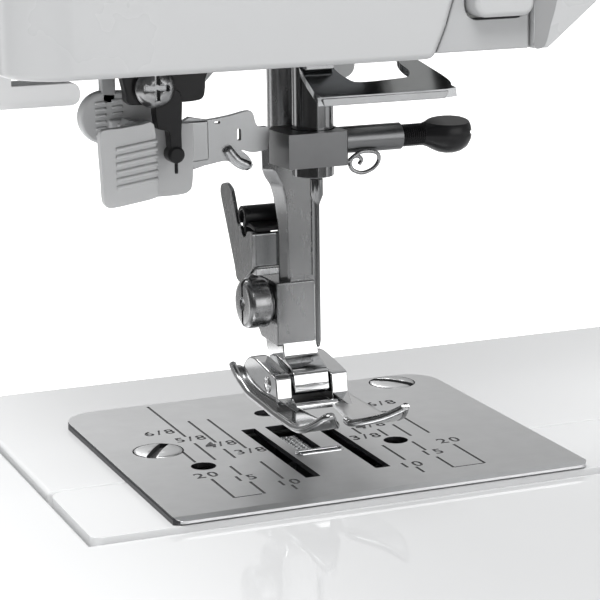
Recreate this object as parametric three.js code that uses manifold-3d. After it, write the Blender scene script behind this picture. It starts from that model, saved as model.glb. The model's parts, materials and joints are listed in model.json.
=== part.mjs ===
// Free-arm household sewing machine, millimetres, +Z up.
// The part's origin is the middle of the footprint, on the surface the machine stands on.
// Every piece is drawn in the needle frame (X and Y from the needle's axis, Z from the
// needle plate's top face), and one group carries that frame to its place in the part.
import * as THREE from "three";
import { mergeVertices } from "three/addons/utils/BufferGeometryUtils.js";
import Module from "manifold-3d";

const wasm = await Module();
wasm.setup();

// ---------------------------------------------------------------- driving dimensions
const NEEDLE_X = -135; // needle axis in the part's frame
const NEEDLE_Y = 16;
const BED_TOP = 80; // needle plate above the table

const GAP = 0.3; // clearance between touching pieces
const WALL = 2.5; // moulded cover thickness

const FLOOR = -BED_TOP;
const FACE_FRONT = -26; // front faces of head, arm and column
const SPLIT = 13; // seam between front and rear covers
const BODY_BACK = 52;
const HEAD_LEFT = -52;
const HEAD_BOTTOM = 62.3;
const ARM_UNDER = 112;
const COVER_TOP = 190; // seam under the top cover
const MACHINE_TOP = 215;
const COLUMN_LEFT = 168;
const COLUMN_RIGHT = 310;

const PLATE = { left: -31.1, right: 34.8, front: -21.9, back: 35.8, thick: 0.8 };
const FREE = { left: -42.8, right: 129.7, front: -21.6, back: 56, bottom: -54 };
const BED_SKIN = -PLATE.thick - GAP; // top face of the free arm
const TABLE = { left: -75, right: 129.7, front: -100, top: -1.8, bottom: -79.6 };
const BASE = { left: 130, right: 310, front: -100, back: 60, seam: -66 };

const SHAFT = { y: 1.2, z: 165, r: 5 }; // main shaft axis, along X
const LOWER = { y: 16, z: -29, r: 4 }; // lower shaft axis, along X
const HOOK = { z: -31, front: 3.5, back: 15, r: 17 };
const BAR = { y: 1.2, r: 3.1 }; // needle bar
const PRESSER = { y: 11, r: 3.2 }; // presser bar
const THROW = 14.5; // crank radius, half the needle bar's travel
const ROD_LENGTH = 40; // connecting rod, between its eyes
const FOOT_PIN = { y: 6.5, z: 9.4 };
const HANDWHEEL = { x0: 314, r: 41 };

const machine = new THREE.Group();
const needleFrame = new THREE.Group();
needleFrame.position.set(NEEDLE_X, NEEDLE_Y, BED_TOP);
machine.add(needleFrame);

// ---------------------------------------------------------------- finishes
const FINISH = {
  shell: { color: 0xd4d5d6, roughness: 0.35, metalness: 0 },
  panel: { color: 0xbfc1c2, roughness: 0.45, metalness: 0 },
  grey: { color: 0x9fa1a2, roughness: 0.5, metalness: 0 },
  black: { color: 0x1d1e1f, roughness: 0.4, metalness: 0 },
  rubber: { color: 0x242424, roughness: 0.9, metalness: 0 },
  lens: { color: 0xf2f2ea, roughness: 0.2, metalness: 0 },
  plate: { color: 0xb9bbbd, roughness: 0.42, metalness: 1 },
  chrome: { color: 0xc9cbcd, roughness: 0.12, metalness: 1 },
  steel: { color: 0xa5a7a9, roughness: 0.35, metalness: 1 },
  cast: { color: 0x8b8d8f, roughness: 0.6, metalness: 0.8 },
};

function piece(name, geometry, finish) {
  const mesh = new THREE.Mesh(geometry, new THREE.MeshStandardMaterial(FINISH[finish]));
  mesh.name = name;
  needleFrame.add(mesh);
  return mesh;
}

// ---------------------------------------------------------------- solids
function toSolid(geometry) {
  const bare = new THREE.BufferGeometry();
  bare.setAttribute("position", geometry.getAttribute("position").clone());
  if (geometry.index) bare.setIndex(geometry.index.clone());
  const merged = mergeVertices(bare, 1e-4);
  const corner = merged.index.array;
  const triangles = [];
  for (let i = 0; i < corner.length; i += 3) {
    const [a, b, c] = [corner[i], corner[i + 1], corner[i + 2]];
    if (a !== b && b !== c && c !== a) triangles.push(a, b, c);
  }
  const vertProperties = merged.getAttribute("position").array;
  const triVerts = new Uint32Array(triangles);
  return new wasm.Manifold(new wasm.Mesh({ numProp: 3, vertProperties, triVerts }));
}

function toGeometry(solid) {
  const mesh = solid.getMesh();
  const geometry = new THREE.BufferGeometry();
  geometry.setAttribute("position", new THREE.BufferAttribute(mesh.vertProperties, 3));
  geometry.setIndex(new THREE.BufferAttribute(mesh.triVerts, 1));
  geometry.computeVertexNormals();
  return geometry;
}

function join(first, ...others) {
  return toGeometry(others.reduce((sum, other) => sum.add(toSolid(other)), toSolid(first)));
}

function cut(first, ...tools) {
  return toGeometry(tools.reduce((rest, tool) => rest.subtract(toSolid(tool)), toSolid(first)));
}

function common(first, second) {
  return toGeometry(toSolid(first).intersect(toSolid(second)));
}

// ---------------------------------------------------------------- outlines and prisms
function outline(points) {
  return new THREE.Shape(points.map(([x, y]) => new THREE.Vector2(x, y)));
}

// A rectangle whose four corners have their own radii, from the low-low corner round.
function roundRect(x0, x1, y0, y1, [r00, r10, r11, r01]) {
  const shape = new THREE.Shape();
  shape.moveTo(x0 + r00, y0);
  shape.lineTo(x1 - r10, y0);
  if (r10 > 0) shape.absarc(x1 - r10, y0 + r10, r10, -Math.PI / 2, 0, false);
  shape.lineTo(x1, y1 - r11);
  if (r11 > 0) shape.absarc(x1 - r11, y1 - r11, r11, 0, Math.PI / 2, false);
  shape.lineTo(x0 + r01, y1);
  if (r01 > 0) shape.absarc(x0 + r01, y1 - r01, r01, Math.PI / 2, Math.PI, false);
  shape.lineTo(x0, y0 + r00);
  if (r00 > 0) shape.absarc(x0 + r00, y0 + r00, r00, Math.PI, 1.5 * Math.PI, false);
  return shape;
}

function disc(x, y, r) {
  const shape = new THREE.Shape();
  shape.absarc(x, y, r, 0, 2 * Math.PI, false);
  return shape;
}

function extrude(shape, depth, steps) {
  return new THREE.ExtrudeGeometry(shape, { depth, bevelEnabled: false, curveSegments: steps });
}

// Outline in X and Y, raised from z0 to z1.
function alongZ(shape, z0, z1, steps = 3) {
  return extrude(shape, z1 - z0, steps).translate(0, 0, z0);
}

// Outline in X and Z, run from y0 to y1.
function alongY(shape, y0, y1, steps = 3) {
  return extrude(shape, y1 - y0, steps).rotateX(Math.PI / 2).translate(0, y1, 0);
}

// Outline in Y and Z, run from x0 to x1.
const YZ_TO_WORLD = new THREE.Matrix4().makeBasis(
  new THREE.Vector3(0, 1, 0),
  new THREE.Vector3(0, 0, 1),
  new THREE.Vector3(1, 0, 0),
);
function alongX(shape, x0, x1, steps = 3) {
  return extrude(shape, x1 - x0, steps).applyMatrix4(YZ_TO_WORLD).translate(x0, 0, 0);
}

function box(x0, x1, y0, y1, z0, z1) {
  return new THREE.BoxGeometry(x1 - x0, y1 - y0, z1 - z0).translate(
    (x0 + x1) / 2,
    (y0 + y1) / 2,
    (z0 + z1) / 2,
  );
}

function rodX(y, z, r, x0, x1, sides = 16) {
  return alongX(disc(y, z, r), x0, x1, sides / 2);
}

function rodY(x, z, r, y0, y1, sides = 16) {
  return alongY(disc(x, z, r), y0, y1, sides / 2);
}

function rodZ(x, y, r, z0, z1, sides = 16) {
  return alongZ(disc(x, y, r), z0, z1, sides / 2);
}

// A turned solid about +Z: profile of [radius, height], bottom to top, ending on the axis.
function turned(profile, sides = 20) {
  const points = profile.map(([r, h]) => new THREE.Vector2(r, h));
  return new THREE.LatheGeometry(points, sides).rotateX(Math.PI / 2);
}

const turnedX = (profile, sides) => turned(profile, sides).rotateY(Math.PI / 2);
const turnedFront = (profile, sides) => turned(profile, sides).rotateX(Math.PI / 2);

// A round wire or pipe through the given points.
function wire(points, r, steps, sides = 6) {
  const path = new THREE.CatmullRomCurve3(points.map((p) => new THREE.Vector3(...p)));
  return new THREE.ExtrudeGeometry(disc(0, 0, r), {
    steps,
    bevelEnabled: false,
    curveSegments: sides / 2,
    extrudePath: path,
  });
}

// ---------------------------------------------------------------- frame and housings
function frameCasting() {
  const plateFront = 30;
  const plateBack = 36;
  const spine = outline([
    [-28, 64], [20, 64], [20, 128], [190, 128], [190, -14], [-24, -14], [-24, -44], [190, -44],
    [190, BASE.seam + 0.1], [300, BASE.seam + 0.1], [300, 183], [-28, 183],
  ]);
  const wall = (x, z0, z1, axis, bore) =>
    cut(box(x, x + 6, -12, plateFront + 1, z0, z1), rodX(axis.y, axis.z, bore, x - 1, x + 7));
  const upperWalls = [24, 172, 284].map((x) => wall(x, 150, 180, SHAFT, SHAFT.r + GAP));
  const lowerWalls = [40, 250].map((x) =>
    cut(
      box(x, x + 6, 6, plateFront + 1, -43, -15),
      rodX(LOWER.y, LOWER.z, LOWER.r + GAP, x - 1, x + 7),
    ),
  );
  const guide = (x1, z0, z1) =>
    cut(
      box(-9, x1, -5, plateFront + 1, z0, z1),
      rodZ(0, BAR.y, BAR.r + GAP, z0 - 1, z1 + 1),
      rodZ(0, PRESSER.y, PRESSER.r + GAP, z0 - 1, z1 + 1),
    );
  const lifterWindow = box(-5, 5, plateFront - 1, plateBack + 1, 74, 100);
  return join(
    cut(alongY(spine, plateFront, plateBack), lifterWindow),
    ...upperWalls,
    ...lowerWalls,
    guide(9, 66, 74),
    guide(4.4, 146, 152),
  );
}

// The head's right edge and the arm's underside, seen from the front.
const UNDERSIDE = [
  [24.5, 63], [32, 69], [38, 79], [43, 92], [49, 103], [58, 109.5], [70, ARM_UNDER],
  [146, ARM_UNDER], [158, 108], [165, 100], [COLUMN_LEFT, 88],
];
// The seam between the face cover and the reverse-button panel.
const FACE_SEAM = [[7, HEAD_BOTTOM], [8.8, 66.5], [10.2, 71], [11, 77]];
const PANEL = { left: 11.3, right: 22, top: 112, bottom: 63 };

// The same line inside the moulded wall; the steep first stretch also moves sideways.
const STEEP_POINTS = 4;
const UNDERSIDE_INSIDE = UNDERSIDE
  .map(([x, z], i) => [x - 0.2 - (i < STEEP_POINTS ? WALL : 0), z + WALL])
  .slice(1, -1);

// The upper body seen from above, with its four vertical edges rounded.
function upperPlan(inset) {
  const radii = [8, 14, 14, 12].map((r) => r - inset);
  return alongZ(
    roundRect(
      HEAD_LEFT + inset, COLUMN_RIGHT - inset, FACE_FRONT + inset, BODY_BACK - inset, radii,
    ),
    -10, MACHINE_TOP, 3,
  );
}

const DIALS = [
  { name: "pattern_dial", x: 262, z: 132, r: 25, stem: 6 },
  { name: "stitch_length_dial", x: 218, z: 172, r: 14, stem: 5 },
  { name: "thread_tension_dial", x: 96, z: 160, r: 15, stem: 5 },
];

function frontCasing() {
  const skin = outline([
    [PANEL.right + GAP, PANEL.bottom],
    ...UNDERSIDE,
    [COLUMN_LEFT, BED_SKIN + GAP],
    [COLUMN_RIGHT, BED_SKIN + GAP],
    [COLUMN_RIGHT, COVER_TOP],
    [PANEL.left + GAP, COVER_TOP],
    [PANEL.left + GAP, PANEL.top + GAP],
    [PANEL.right + GAP, PANEL.top + GAP],
  ]);
  const hollow = outline([
    [PANEL.right + GAP - 1, PANEL.bottom - 1],
    ...UNDERSIDE_INSIDE,
    [COLUMN_LEFT + WALL, 92],
    [COLUMN_LEFT + WALL, BED_SKIN - 1],
    [COLUMN_RIGHT - WALL, BED_SKIN - 1],
    [COLUMN_RIGHT - WALL, COVER_TOP + 1],
    [PANEL.left - 1, COVER_TOP + 1],
    [PANEL.left - 1, PANEL.top + GAP - 1],
    [PANEL.right + GAP - 1, PANEL.top + GAP - 1],
  ]);
  return cut(
    common(alongY(skin, FACE_FRONT, SPLIT), upperPlan(0)),
    common(alongY(hollow, FACE_FRONT, SPLIT + 1), upperPlan(WALL)),
    rodX(SHAFT.y, SHAFT.z, 7, 300, 312),
    ...DIALS.map((dial) => rodY(dial.x, dial.z, dial.stem + GAP, FACE_FRONT - 1, -20)),
  );
}

function rearCasing() {
  const skin = outline([
    [HEAD_LEFT, HEAD_BOTTOM],
    [22, HEAD_BOTTOM],
    ...UNDERSIDE,
    [COLUMN_LEFT, BED_SKIN + GAP],
    [COLUMN_RIGHT, BED_SKIN + GAP],
    [COLUMN_RIGHT, COVER_TOP],
    [HEAD_LEFT, COVER_TOP],
  ]);
  const hollow = outline([
    [HEAD_LEFT + WALL, HEAD_BOTTOM - 1],
    [21.7, HEAD_BOTTOM - 1],
    ...UNDERSIDE_INSIDE,
    [COLUMN_LEFT + WALL, 92],
    [COLUMN_LEFT + WALL, BED_SKIN - 1],
    [COLUMN_RIGHT - WALL, BED_SKIN - 1],
    [COLUMN_RIGHT - WALL, COVER_TOP + 1],
    [HEAD_LEFT + WALL, COVER_TOP + 1],
  ]);
  const lifterSlot = box(-4, 4, BODY_BACK - 5, BODY_BACK + 1, HEAD_BOTTOM - 1, 100);
  return cut(
    common(alongY(skin, SPLIT + GAP, BODY_BACK), upperPlan(0)),
    common(alongY(hollow, SPLIT - 1, BODY_BACK), upperPlan(WALL)),
    lifterSlot,
    alongX(outline([[10, 158], [36, 158], [36, 172], [10, 172]]), 300, 312),
  );
}

function faceCover() {
  const skin = outline([
    [HEAD_LEFT, HEAD_BOTTOM], ...FACE_SEAM, [11, COVER_TOP], [HEAD_LEFT, COVER_TOP],
  ]);
  const hollow = outline([
    [HEAD_LEFT + WALL, HEAD_BOTTOM - 1], [13, HEAD_BOTTOM - 1], [13, COVER_TOP + 1],
    [HEAD_LEFT + WALL, COVER_TOP + 1],
  ]);
  return cut(
    common(alongY(skin, FACE_FRONT, SPLIT), upperPlan(0)),
    common(alongY(hollow, FACE_FRONT, SPLIT + 1), upperPlan(WALL)),
    box(-20.4, -14, FACE_FRONT - 1, -12, 128, 188), // slot for the take-up lever
  );
}

const REVERSE = { x0: 11.9, x1: 18.7, z0: 68, z1: 92 };

function controlPanel() {
  const recess = 0.9;
  const seam = FACE_SEAM.map(([x, z]) => [x + GAP, z]);
  const skin = outline([
    [seam[0][0] + 0.3, PANEL.bottom], ...seam.slice(1), [PANEL.left, PANEL.top],
    [PANEL.right, PANEL.top], [PANEL.right, PANEL.bottom],
  ]);
  const { x0, x1, z0, z1 } = REVERSE;
  return cut(
    alongY(skin, FACE_FRONT + recess, FACE_FRONT + recess + WALL),
    box(x0 - GAP, x1 + GAP, FACE_FRONT - 1, -20, z0 - 3, z1 + GAP),
  );
}

// The lid over arm and column, with wells for the carrying handle and the bobbin winder.
const HANDLE = { x0: 70, x1: 190, y0: -8, y1: 34 };
const SPOOL_PIN = { x: 226, y: 36, r: 2.6 };
const WINDER = { x: 280, y: 30, r: 2.9 };
const PRESSURE_DIAL = { x: -14, y: 10, r: 6 };

function topCover() {
  const section = roundRect(FACE_FRONT, BODY_BACK, COVER_TOP + GAP, MACHINE_TOP - 4, [0, 0, 14, 14]);
  const inside = roundRect(
    FACE_FRONT + WALL, BODY_BACK - WALL, COVER_TOP - 1, MACHINE_TOP - 4 - WALL, [0, 0, 12, 12],
  );
  const { x0, x1, y0, y1 } = HANDLE;
  const well = box(x0 - 1, x1 + 1, y0 - 1, y1 + 2.2, 199, MACHINE_TOP);
  const wellPan = box(x0 - 3, x1 + 3, y0 - 3, y1 + 4.2, 196.5, 209);
  const shell = cut(
    common(alongX(section, HEAD_LEFT, COLUMN_RIGHT, 4), upperPlan(0)),
    common(alongX(inside, HEAD_LEFT, COLUMN_RIGHT, 4), upperPlan(WALL)),
  );
  return cut(
    join(shell, wellPan),
    well,
    rodZ(SPOOL_PIN.x, SPOOL_PIN.y, SPOOL_PIN.r + GAP, 200, 220),
    rodZ(WINDER.x, WINDER.y, WINDER.r + GAP, 200, 220),
    rodZ(PRESSURE_DIAL.x, PRESSURE_DIAL.y, PRESSURE_DIAL.r + GAP, 200, 220),
  );
}

function carryHandle() {
  const { x0, x1, y0, y1 } = HANDLE;
  const outer = alongZ(roundRect(x0, x1, y0, y1, [6, 6, 2, 2]), 201, 209, 4);
  return cut(outer, box(x0 + 9, x1 - 9, y0 + 10, y1 + 1, 200, 210));
}

function baseHousing() {
  const corner = [2, 14, 10, 2];
  const { left, right, front, back, seam } = BASE;
  const skin = alongZ(roundRect(left, right, front, back, corner), seam, BED_SKIN, 5);
  const hollow = alongZ(
    roundRect(left + WALL, right - WALL, front + WALL, back - WALL, [1, 12, 8, 1]),
    seam - 1, BED_SKIN - WALL, 5,
  );
  return cut(
    skin,
    hollow,
    box(left - 1, left + WALL + 1, -18, 50, -47, -6), // way through to the free arm
    box(178, 302, -20, 46, BED_SKIN - WALL - 1, BED_SKIN + 1), // way up into the column
    box(right - 3, right + 1, -62, -40, -46, -30), // switch opening
    box(right - 3, right + 1, -20, 4, -50, -30), // inlet opening
  );
}

const FEET = [[144, -86], [294, -84], [-14, 40], [294, 42]];

function baseTray() {
  const arm = alongZ(roundRect(-30, 200, -8, 54, [8, 0, 0, 8]), FLOOR + 4, BASE.seam - GAP, 4);
  const body = alongZ(
    roundRect(BASE.left + 2, BASE.right - 2, BASE.front + 2, BASE.back - 2, [2, 12, 8, 2]),
    FLOOR + 4, BASE.seam - GAP, 4,
  );
  const hollow = box(BASE.left + 6, BASE.right - 6, BASE.front + 16, BASE.back - 14, FLOOR + 7, 0);
  const feet = FEET.map(([x, y]) =>
    turned([[0, 0], [7.5, 0], [8.5, 5], [0, 5]], 16).translate(x, y, FLOOR),
  );
  return join(cut(join(arm, body), hollow), ...feet);
}

// ---------------------------------------------------------------- bed
const FLAP = { right: 60, back: 0.4, bottom: -50 };
const BED_CORNER = [1.5, 0, 0, 9];

function freeArmCasing() {
  const { left, right, front, back, bottom } = FREE;
  const skin = alongZ(roundRect(left, right, front, back, BED_CORNER), bottom, BED_SKIN, 6);
  const hollow = alongZ(
    roundRect(left + WALL, right + 1, front + WALL, back - WALL, [2, 0, 0, 7]),
    bottom + WALL, BED_SKIN - WALL, 4,
  );
  return cut(
    skin,
    hollow,
    box(left - 1, FLAP.right + GAP, front - 1, FLAP.back + GAP, FLAP.bottom - GAP, 1),
    box(-20, 22, FLAP.back - 1, 22, BED_SKIN - WALL - 1, 1), // well under the needle plate
  );
}

function hookCover() {
  const { left, front } = FREE;
  const block = alongZ(
    roundRect(left, FLAP.right, front, FLAP.back, [1.5, 0, 0, 2.4]), FLAP.bottom, BED_SKIN, 6,
  );
  return cut(
    block,
    box(left + WALL, FLAP.right - WALL, front + WALL, FLAP.back + 1, FLAP.bottom - 1, BED_SKIN - WALL),
    box(PLATE.left + 2, PLATE.right - 2, front + WALL, FLAP.back + 1, -8, 1), // under the plate
  );
}

function extensionTable() {
  const { left, right, front, top, bottom } = TABLE;
  const block = (inset, z0, z1) =>
    cut(
      alongZ(
        roundRect(left + inset, right - inset, front + inset, FREE.back - inset, [12, 0, 0, 10]),
        z0, z1, 5,
      ),
      box(FREE.left - GAP - inset, right + 1, FREE.front - GAP - inset, FREE.back + 1, z0 - 1, z1 + 1),
    );
  return cut(block(0, bottom, top), block(WALL, bottom - 1, top - WALL));
}

const SLOT = { leftX: [-7, -4.65], rightX: [4.3, 6.7], y: [-11.6, 15.5] };
const INNER_SLOT = { x: [-2.9, 0.9], y: [1, 15.6] };
const PLATE_SCREWS = [
  { name: "plate_screw_left", x: -22.5, y: 10.4, turn: 0.35 },
  { name: "plate_screw_right", x: 26.7, y: 31.6, turn: -0.55 },
];
const PLATE_HOLES = [[-18.8, 0.1], [13.05, 0.4], [0.2, 23]];

function needlePlate() {
  const { left, right, front, back, thick } = PLATE;
  const slots = [SLOT.leftX, SLOT.rightX].map(([x0, x1]) =>
    box(x0, x1, SLOT.y[0], SLOT.y[1], -thick - 1, 1),
  );
  return cut(
    alongZ(roundRect(left, right, front, back, [1.5, 1.5, 5.5, 5.5]), -thick, 0, 4),
    ...slots,
    box(INNER_SLOT.x[0], INNER_SLOT.x[1], INNER_SLOT.y[0], INNER_SLOT.y[1], -thick - 1, 1),
    box(-3.5, 3.6, -1.2, 1.2, -thick - 1, 1), // needle hole, as wide as the zigzag
    ...PLATE_HOLES.map(([x, y]) => rodZ(x, y, 1.9, -thick - 1, 1, 10)),
    ...PLATE_SCREWS.map((s) => rodZ(s.x, s.y, 3.9, -thick - 1, 1)),
  );
}

function plateScrew({ x, y, turn }) {
  const head = turned([[0, -0.75], [2.6, -0.75], [3.6, -0.12], [3.6, 0], [0, 0.1]], 20);
  const slot = box(-4, 4, -0.45, 0.45, -0.45, 1).rotateZ(turn);
  return cut(head, slot).translate(x, y, 0);
}

// Three rows of teeth on one bar; the inner row stands highest.
function feedDog() {
  const rail = (x0, x1, y0, y1, top) => box(x0, x1, y0, y1, -6.6, top);
  const teeth = (x0, x1, y0, count, z) =>
    Array.from({ length: count }, (unused, i) =>
      alongX(outline([[0, 0], [1.1, 0], [0.3, 0.55]]), x0, x1).translate(0, y0 + i * 1.1, z),
    );
  return join(
    box(-6.6, 6.3, 4, 12, -6.6, -5),
    rail(-6.6, -5.05, -8, 12.5, -1.9),
    rail(4.7, 6.3, -8, 12.5, -1.9),
    rail(-2.5, 0.5, 3, 12, -1.1),
    ...teeth(-2.5, 0.5, 3.2, 8, -1.15),
  );
}

// The bar below the feed dog, which lifts it and drops it.
function feedCarrier() {
  return cut(box(-6.4, 60, 5, 11, -8.6, -6.9), rodZ(54, 8, 1.6, -10, -5, 10));
}

// ---------------------------------------------------------------- drive train
function mainShaft() {
  return join(
    rodX(SHAFT.y, SHAFT.z, SHAFT.r, 9.6, 333, 14),
    rodX(SHAFT.y, SHAFT.z, 11, 198, 210, 18), // belt sprocket to the lower shaft
    drivePulley(),
  );
}

function crank() {
  const web = alongX(roundRect(-7, 7, -9, THROW + 6, [7, 7, 6, 6]), 9.3, 14, 5);
  const placed = web.translate(0, SHAFT.y, SHAFT.z);
  return cut(
    join(placed, rodX(SHAFT.y, SHAFT.z + THROW, 2.5, 5, 10, 12)),
    rodX(SHAFT.y, SHAFT.z, SHAFT.r + GAP, 7, 16),
  );
}

// Opened linkage: the lower eye stands clear of the needle bar's stud.
function connectingRod() {
  const top = SHAFT.z + THROW;
  const bar = alongX(roundRect(-3, 3, top - ROD_LENGTH, top, [0, 0, 0, 0]), 5.2, 8.6);
  const eyes = [top, top - ROD_LENGTH].map((z) => rodX(SHAFT.y, z, 5, 5.2, 8.6, 14));
  return cut(
    join(bar.translate(0, SHAFT.y, 0), ...eyes),
    rodX(SHAFT.y, top, 2.5 + GAP, 4, 9, 12),
    rodX(SHAFT.y, top - ROD_LENGTH, 2.5, 4, 9, 12),
  );
}

function handwheel() {
  const r = HANDWHEEL.r;
  const rim = turnedX(
    [[0, 0], [r - 7, 0], [r - 2, 2.5], [r, 8], [r, 17], [r - 4, 25], [r - 12, 29], [20, 29],
      [19, 24], [0, 24]],
    28,
  ).translate(HANDWHEEL.x0, SHAFT.y, SHAFT.z);
  return cut(rim, rodX(SHAFT.y, SHAFT.z, SHAFT.r + GAP, 300, 334));
}

function clutchKnob() {
  return turnedX([[0, 0], [16, 0], [17.5, 1.8], [17.5, 5], [14, 6.7], [0, 6.2]], 20)
    .translate(HANDWHEEL.x0 + 24 + GAP, SHAFT.y, SHAFT.z);
}

const MOTOR = { y: 2, z: 30, r: 23, x0: 214, x1: 266 };

function motor() {
  return join(
    rodX(MOTOR.y, MOTOR.z, MOTOR.r, MOTOR.x0, MOTOR.x1, 20),
    rodX(MOTOR.y, MOTOR.z, 10, MOTOR.x1 - 1, MOTOR.x1 + 6, 14),
    box(226, 252, -6, 29.7, 4, 16),
  );
}

function motorPulley() {
  return turnedX(
    [[0, 0], [8, 0], [8, 2], [6, 3.5], [8, 7], [8, 9], [0, 9]], 16,
  ).translate(MOTOR.x1 + 6 + GAP, MOTOR.y, MOTOR.z);
}

// A flat loop round two wheels whose axes run along X.
function beltLoop(a, b, ra, rb, x0, x1, thick) {
  const loop = (extra) => {
    const angle = Math.atan2(b.z - a.z, b.y - a.y);
    const lean = Math.acos((ra - rb) / Math.hypot(b.y - a.y, b.z - a.z));
    const shape = new THREE.Shape();
    shape.absarc(a.y, a.z, ra + extra, angle + lean, angle - lean + 2 * Math.PI, false);
    shape.absarc(b.y, b.z, rb + extra, angle - lean, angle + lean, false);
    return shape;
  };
  const ring = loop(thick);
  ring.holes.push(new THREE.Path(loop(0).getPoints(6).reverse()));
  return alongX(ring, x0, x1, 6);
}

function timingBelt() {
  return beltLoop(SHAFT, LOWER, 11 + GAP, 11 + GAP, 199, 209, 1.6);
}

const DRIVE_PULLEY = { r: 22, x0: 271, x1: 281 };

function drivePulley() {
  const { r, x0 } = DRIVE_PULLEY;
  const profile = [[0, 0], [r, 0], [r, 2], [r - 2, 4], [r - 2, 6], [r, 8], [r, 10], [0, 10]];
  return turnedX(profile, 24).translate(x0, SHAFT.y, SHAFT.z);
}

function motorBelt() {
  return beltLoop(SHAFT, MOTOR, DRIVE_PULLEY.r + GAP, 8 + GAP, 273.6, 278.4, 1.8);
}

function lowerShaft() {
  return join(
    rodX(LOWER.y, LOWER.z, LOWER.r, 22, 262, 12),
    rodX(LOWER.y, LOWER.z, 11, 198, 210, 18),
    turnedX([[0, 0], [5, 0], [9, 5], [9, 8], [0, 8]], 16).translate(20, LOWER.y, LOWER.z),
  );
}

// ---------------------------------------------------------------- hook and bobbin
function hookRace() {
  const ring = new THREE.Shape();
  ring.absarc(0, HOOK.z, HOOK.r + 2, 0, 2 * Math.PI, false);
  ring.holes.push(new THREE.Path(disc(0, HOOK.z, HOOK.r + GAP).getPoints(12).reverse()));
  return cut(alongY(ring, 5, 14, 14), box(-6, 6, 4, 15, HOOK.z + 8, 0)); // open over the hook
}

function hook() {
  const body = rodY(0, HOOK.z, HOOK.r, HOOK.front + 2, HOOK.back - 2, 24);
  const bowl = rodY(0, HOOK.z, 12.5, HOOK.front, HOOK.back - 4, 20);
  const beakRelief = alongY(
    outline([[2, HOOK.z + 13], [20, HOOK.z + 8], [20, HOOK.z + 20], [2, HOOK.z + 20]]),
    HOOK.front, HOOK.back,
  );
  const stem = rodY(0, HOOK.z, 4, HOOK.back - 3, 27, 12);
  return join(cut(body, bowl, beakRelief), stem);
}

function bobbinCase() {
  const cup = rodY(0, HOOK.z, 12, -7, 10, 20);
  const well = rodY(0, HOOK.z, 11, -4.5, 11, 20);
  const latch = box(-3, 3, -8, -6, HOOK.z - 9, HOOK.z + 3);
  const finger = box(-2, 2, -5, -1, HOOK.z + 11, HOOK.z + 14);
  return join(cut(cup, well), latch, finger);
}

function bobbin() {
  return turned(
    [[0, 0], [10.4, 0], [10.4, 0.9], [3.4, 0.9], [3.4, 11.4], [10.4, 11.4], [10.4, 12.3], [0, 12.3]],
    18,
  ).rotateX(Math.PI / 2).translate(0, -4.2 + 12.3, HOOK.z);
}

// ---------------------------------------------------------------- needle bar
const CLAMP = { left: -5.9, right: 3.7, front: -4, back: 5.6, bottom: 44.6, top: 49.7 };
const CLAMP_AXIS = { y: 0.4, z: 47.7 };
const BAR_END = 42.6; // lower end of the needle bar

function needleBar() {
  return join(
    rodZ(0, BAR.y, BAR.r, BAR_END, 192, 18),
    rodX(BAR.y, SHAFT.z + THROW - ROD_LENGTH, 2.2, 0, 4.9, 10), // stud for the connecting rod
  );
}

function needleClamp() {
  const { left, right, front, back, bottom, top } = CLAMP;
  const block = alongZ(
    outline([[left, front], [right - 0.4, front], [right, front + 0.6], [right, back],
      [left + 1, back], [left - 0.4, front + 7]]),
    bottom, top,
  );
  return cut(
    join(block, rodX(CLAMP_AXIS.y, CLAMP_AXIS.z, 2.05, right - 0.5, 13.7, 16)),
    rodZ(0, BAR.y, BAR.r + GAP, bottom - 1, top + 1),
    rodX(CLAMP_AXIS.y, CLAMP_AXIS.z, 1.6 + GAP, 4.4, 15),
  );
}

function clampScrew() {
  const knob = [
    [0, 11.7], [1.2, 11.7], [2, 12.2], [2.9, 13.8], [2.95, 16], [2.5, 18.6], [1.4, 19.7], [0, 19.9],
  ];
  return cut(
    join(
      turnedX([[0, 0], [1.6, 0], [1.6, 11.9], [0, 11.9]], 12),
      turnedX(knob, 16),
    ),
    box(17.6, 21, -3, 3, 1.9, 4), // flat on the thumb grip
  ).translate(5.4, CLAMP_AXIS.y, CLAMP_AXIS.z);
}

function needle() {
  const top = BAR_END - GAP;
  return turned([[0, 14.6], [0.45, 17.5], [0.45, 38.4], [1, 39.8], [1, top], [0, top]], 10);
}

function needleThreadGuide() {
  return wire(
    [
      [4.4, 0.9, 43.6], [5.4, 0, 42.4], [7.4, -0.8, 41.7], [9.3, -0.6, 42.7], [9, 0.4, 43.8],
      [6.8, 1, 43.8],
    ],
    0.42, 14, 5,
  );
}

function takeUpLever() {
  // The pivot carries a short crank arm inside the head; the eye travels in the front slot.
  const plate = outline([
    [-4, 146], [4, 143], [8, 150], [-18, 168], [-27, 173], [-31, 172], [-31, 168], [-25, 165],
  ]);
  return cut(
    join(alongX(plate, -18.6, -16.4), rodX(2, 148, 4, -18.6, -10, 12)),
    rodX(-28.3, 170.2, 1, -20, -15, 8),
  );
}

// ---------------------------------------------------------------- presser bar and foot
function presserBar() {
  return join(
    rodZ(0, PRESSER.y, PRESSER.r, 47.2, 186, 16),
    box(-5, 5, PRESSER.y - 3, 26, 88, 98), // bracket that the lifter raises
  );
}

const ANKLE = { front: 8.4, back: 14.4 };
const ANKLE_SCREW = { y: 11.2, z: 21.5, r: 3.85 };

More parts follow.
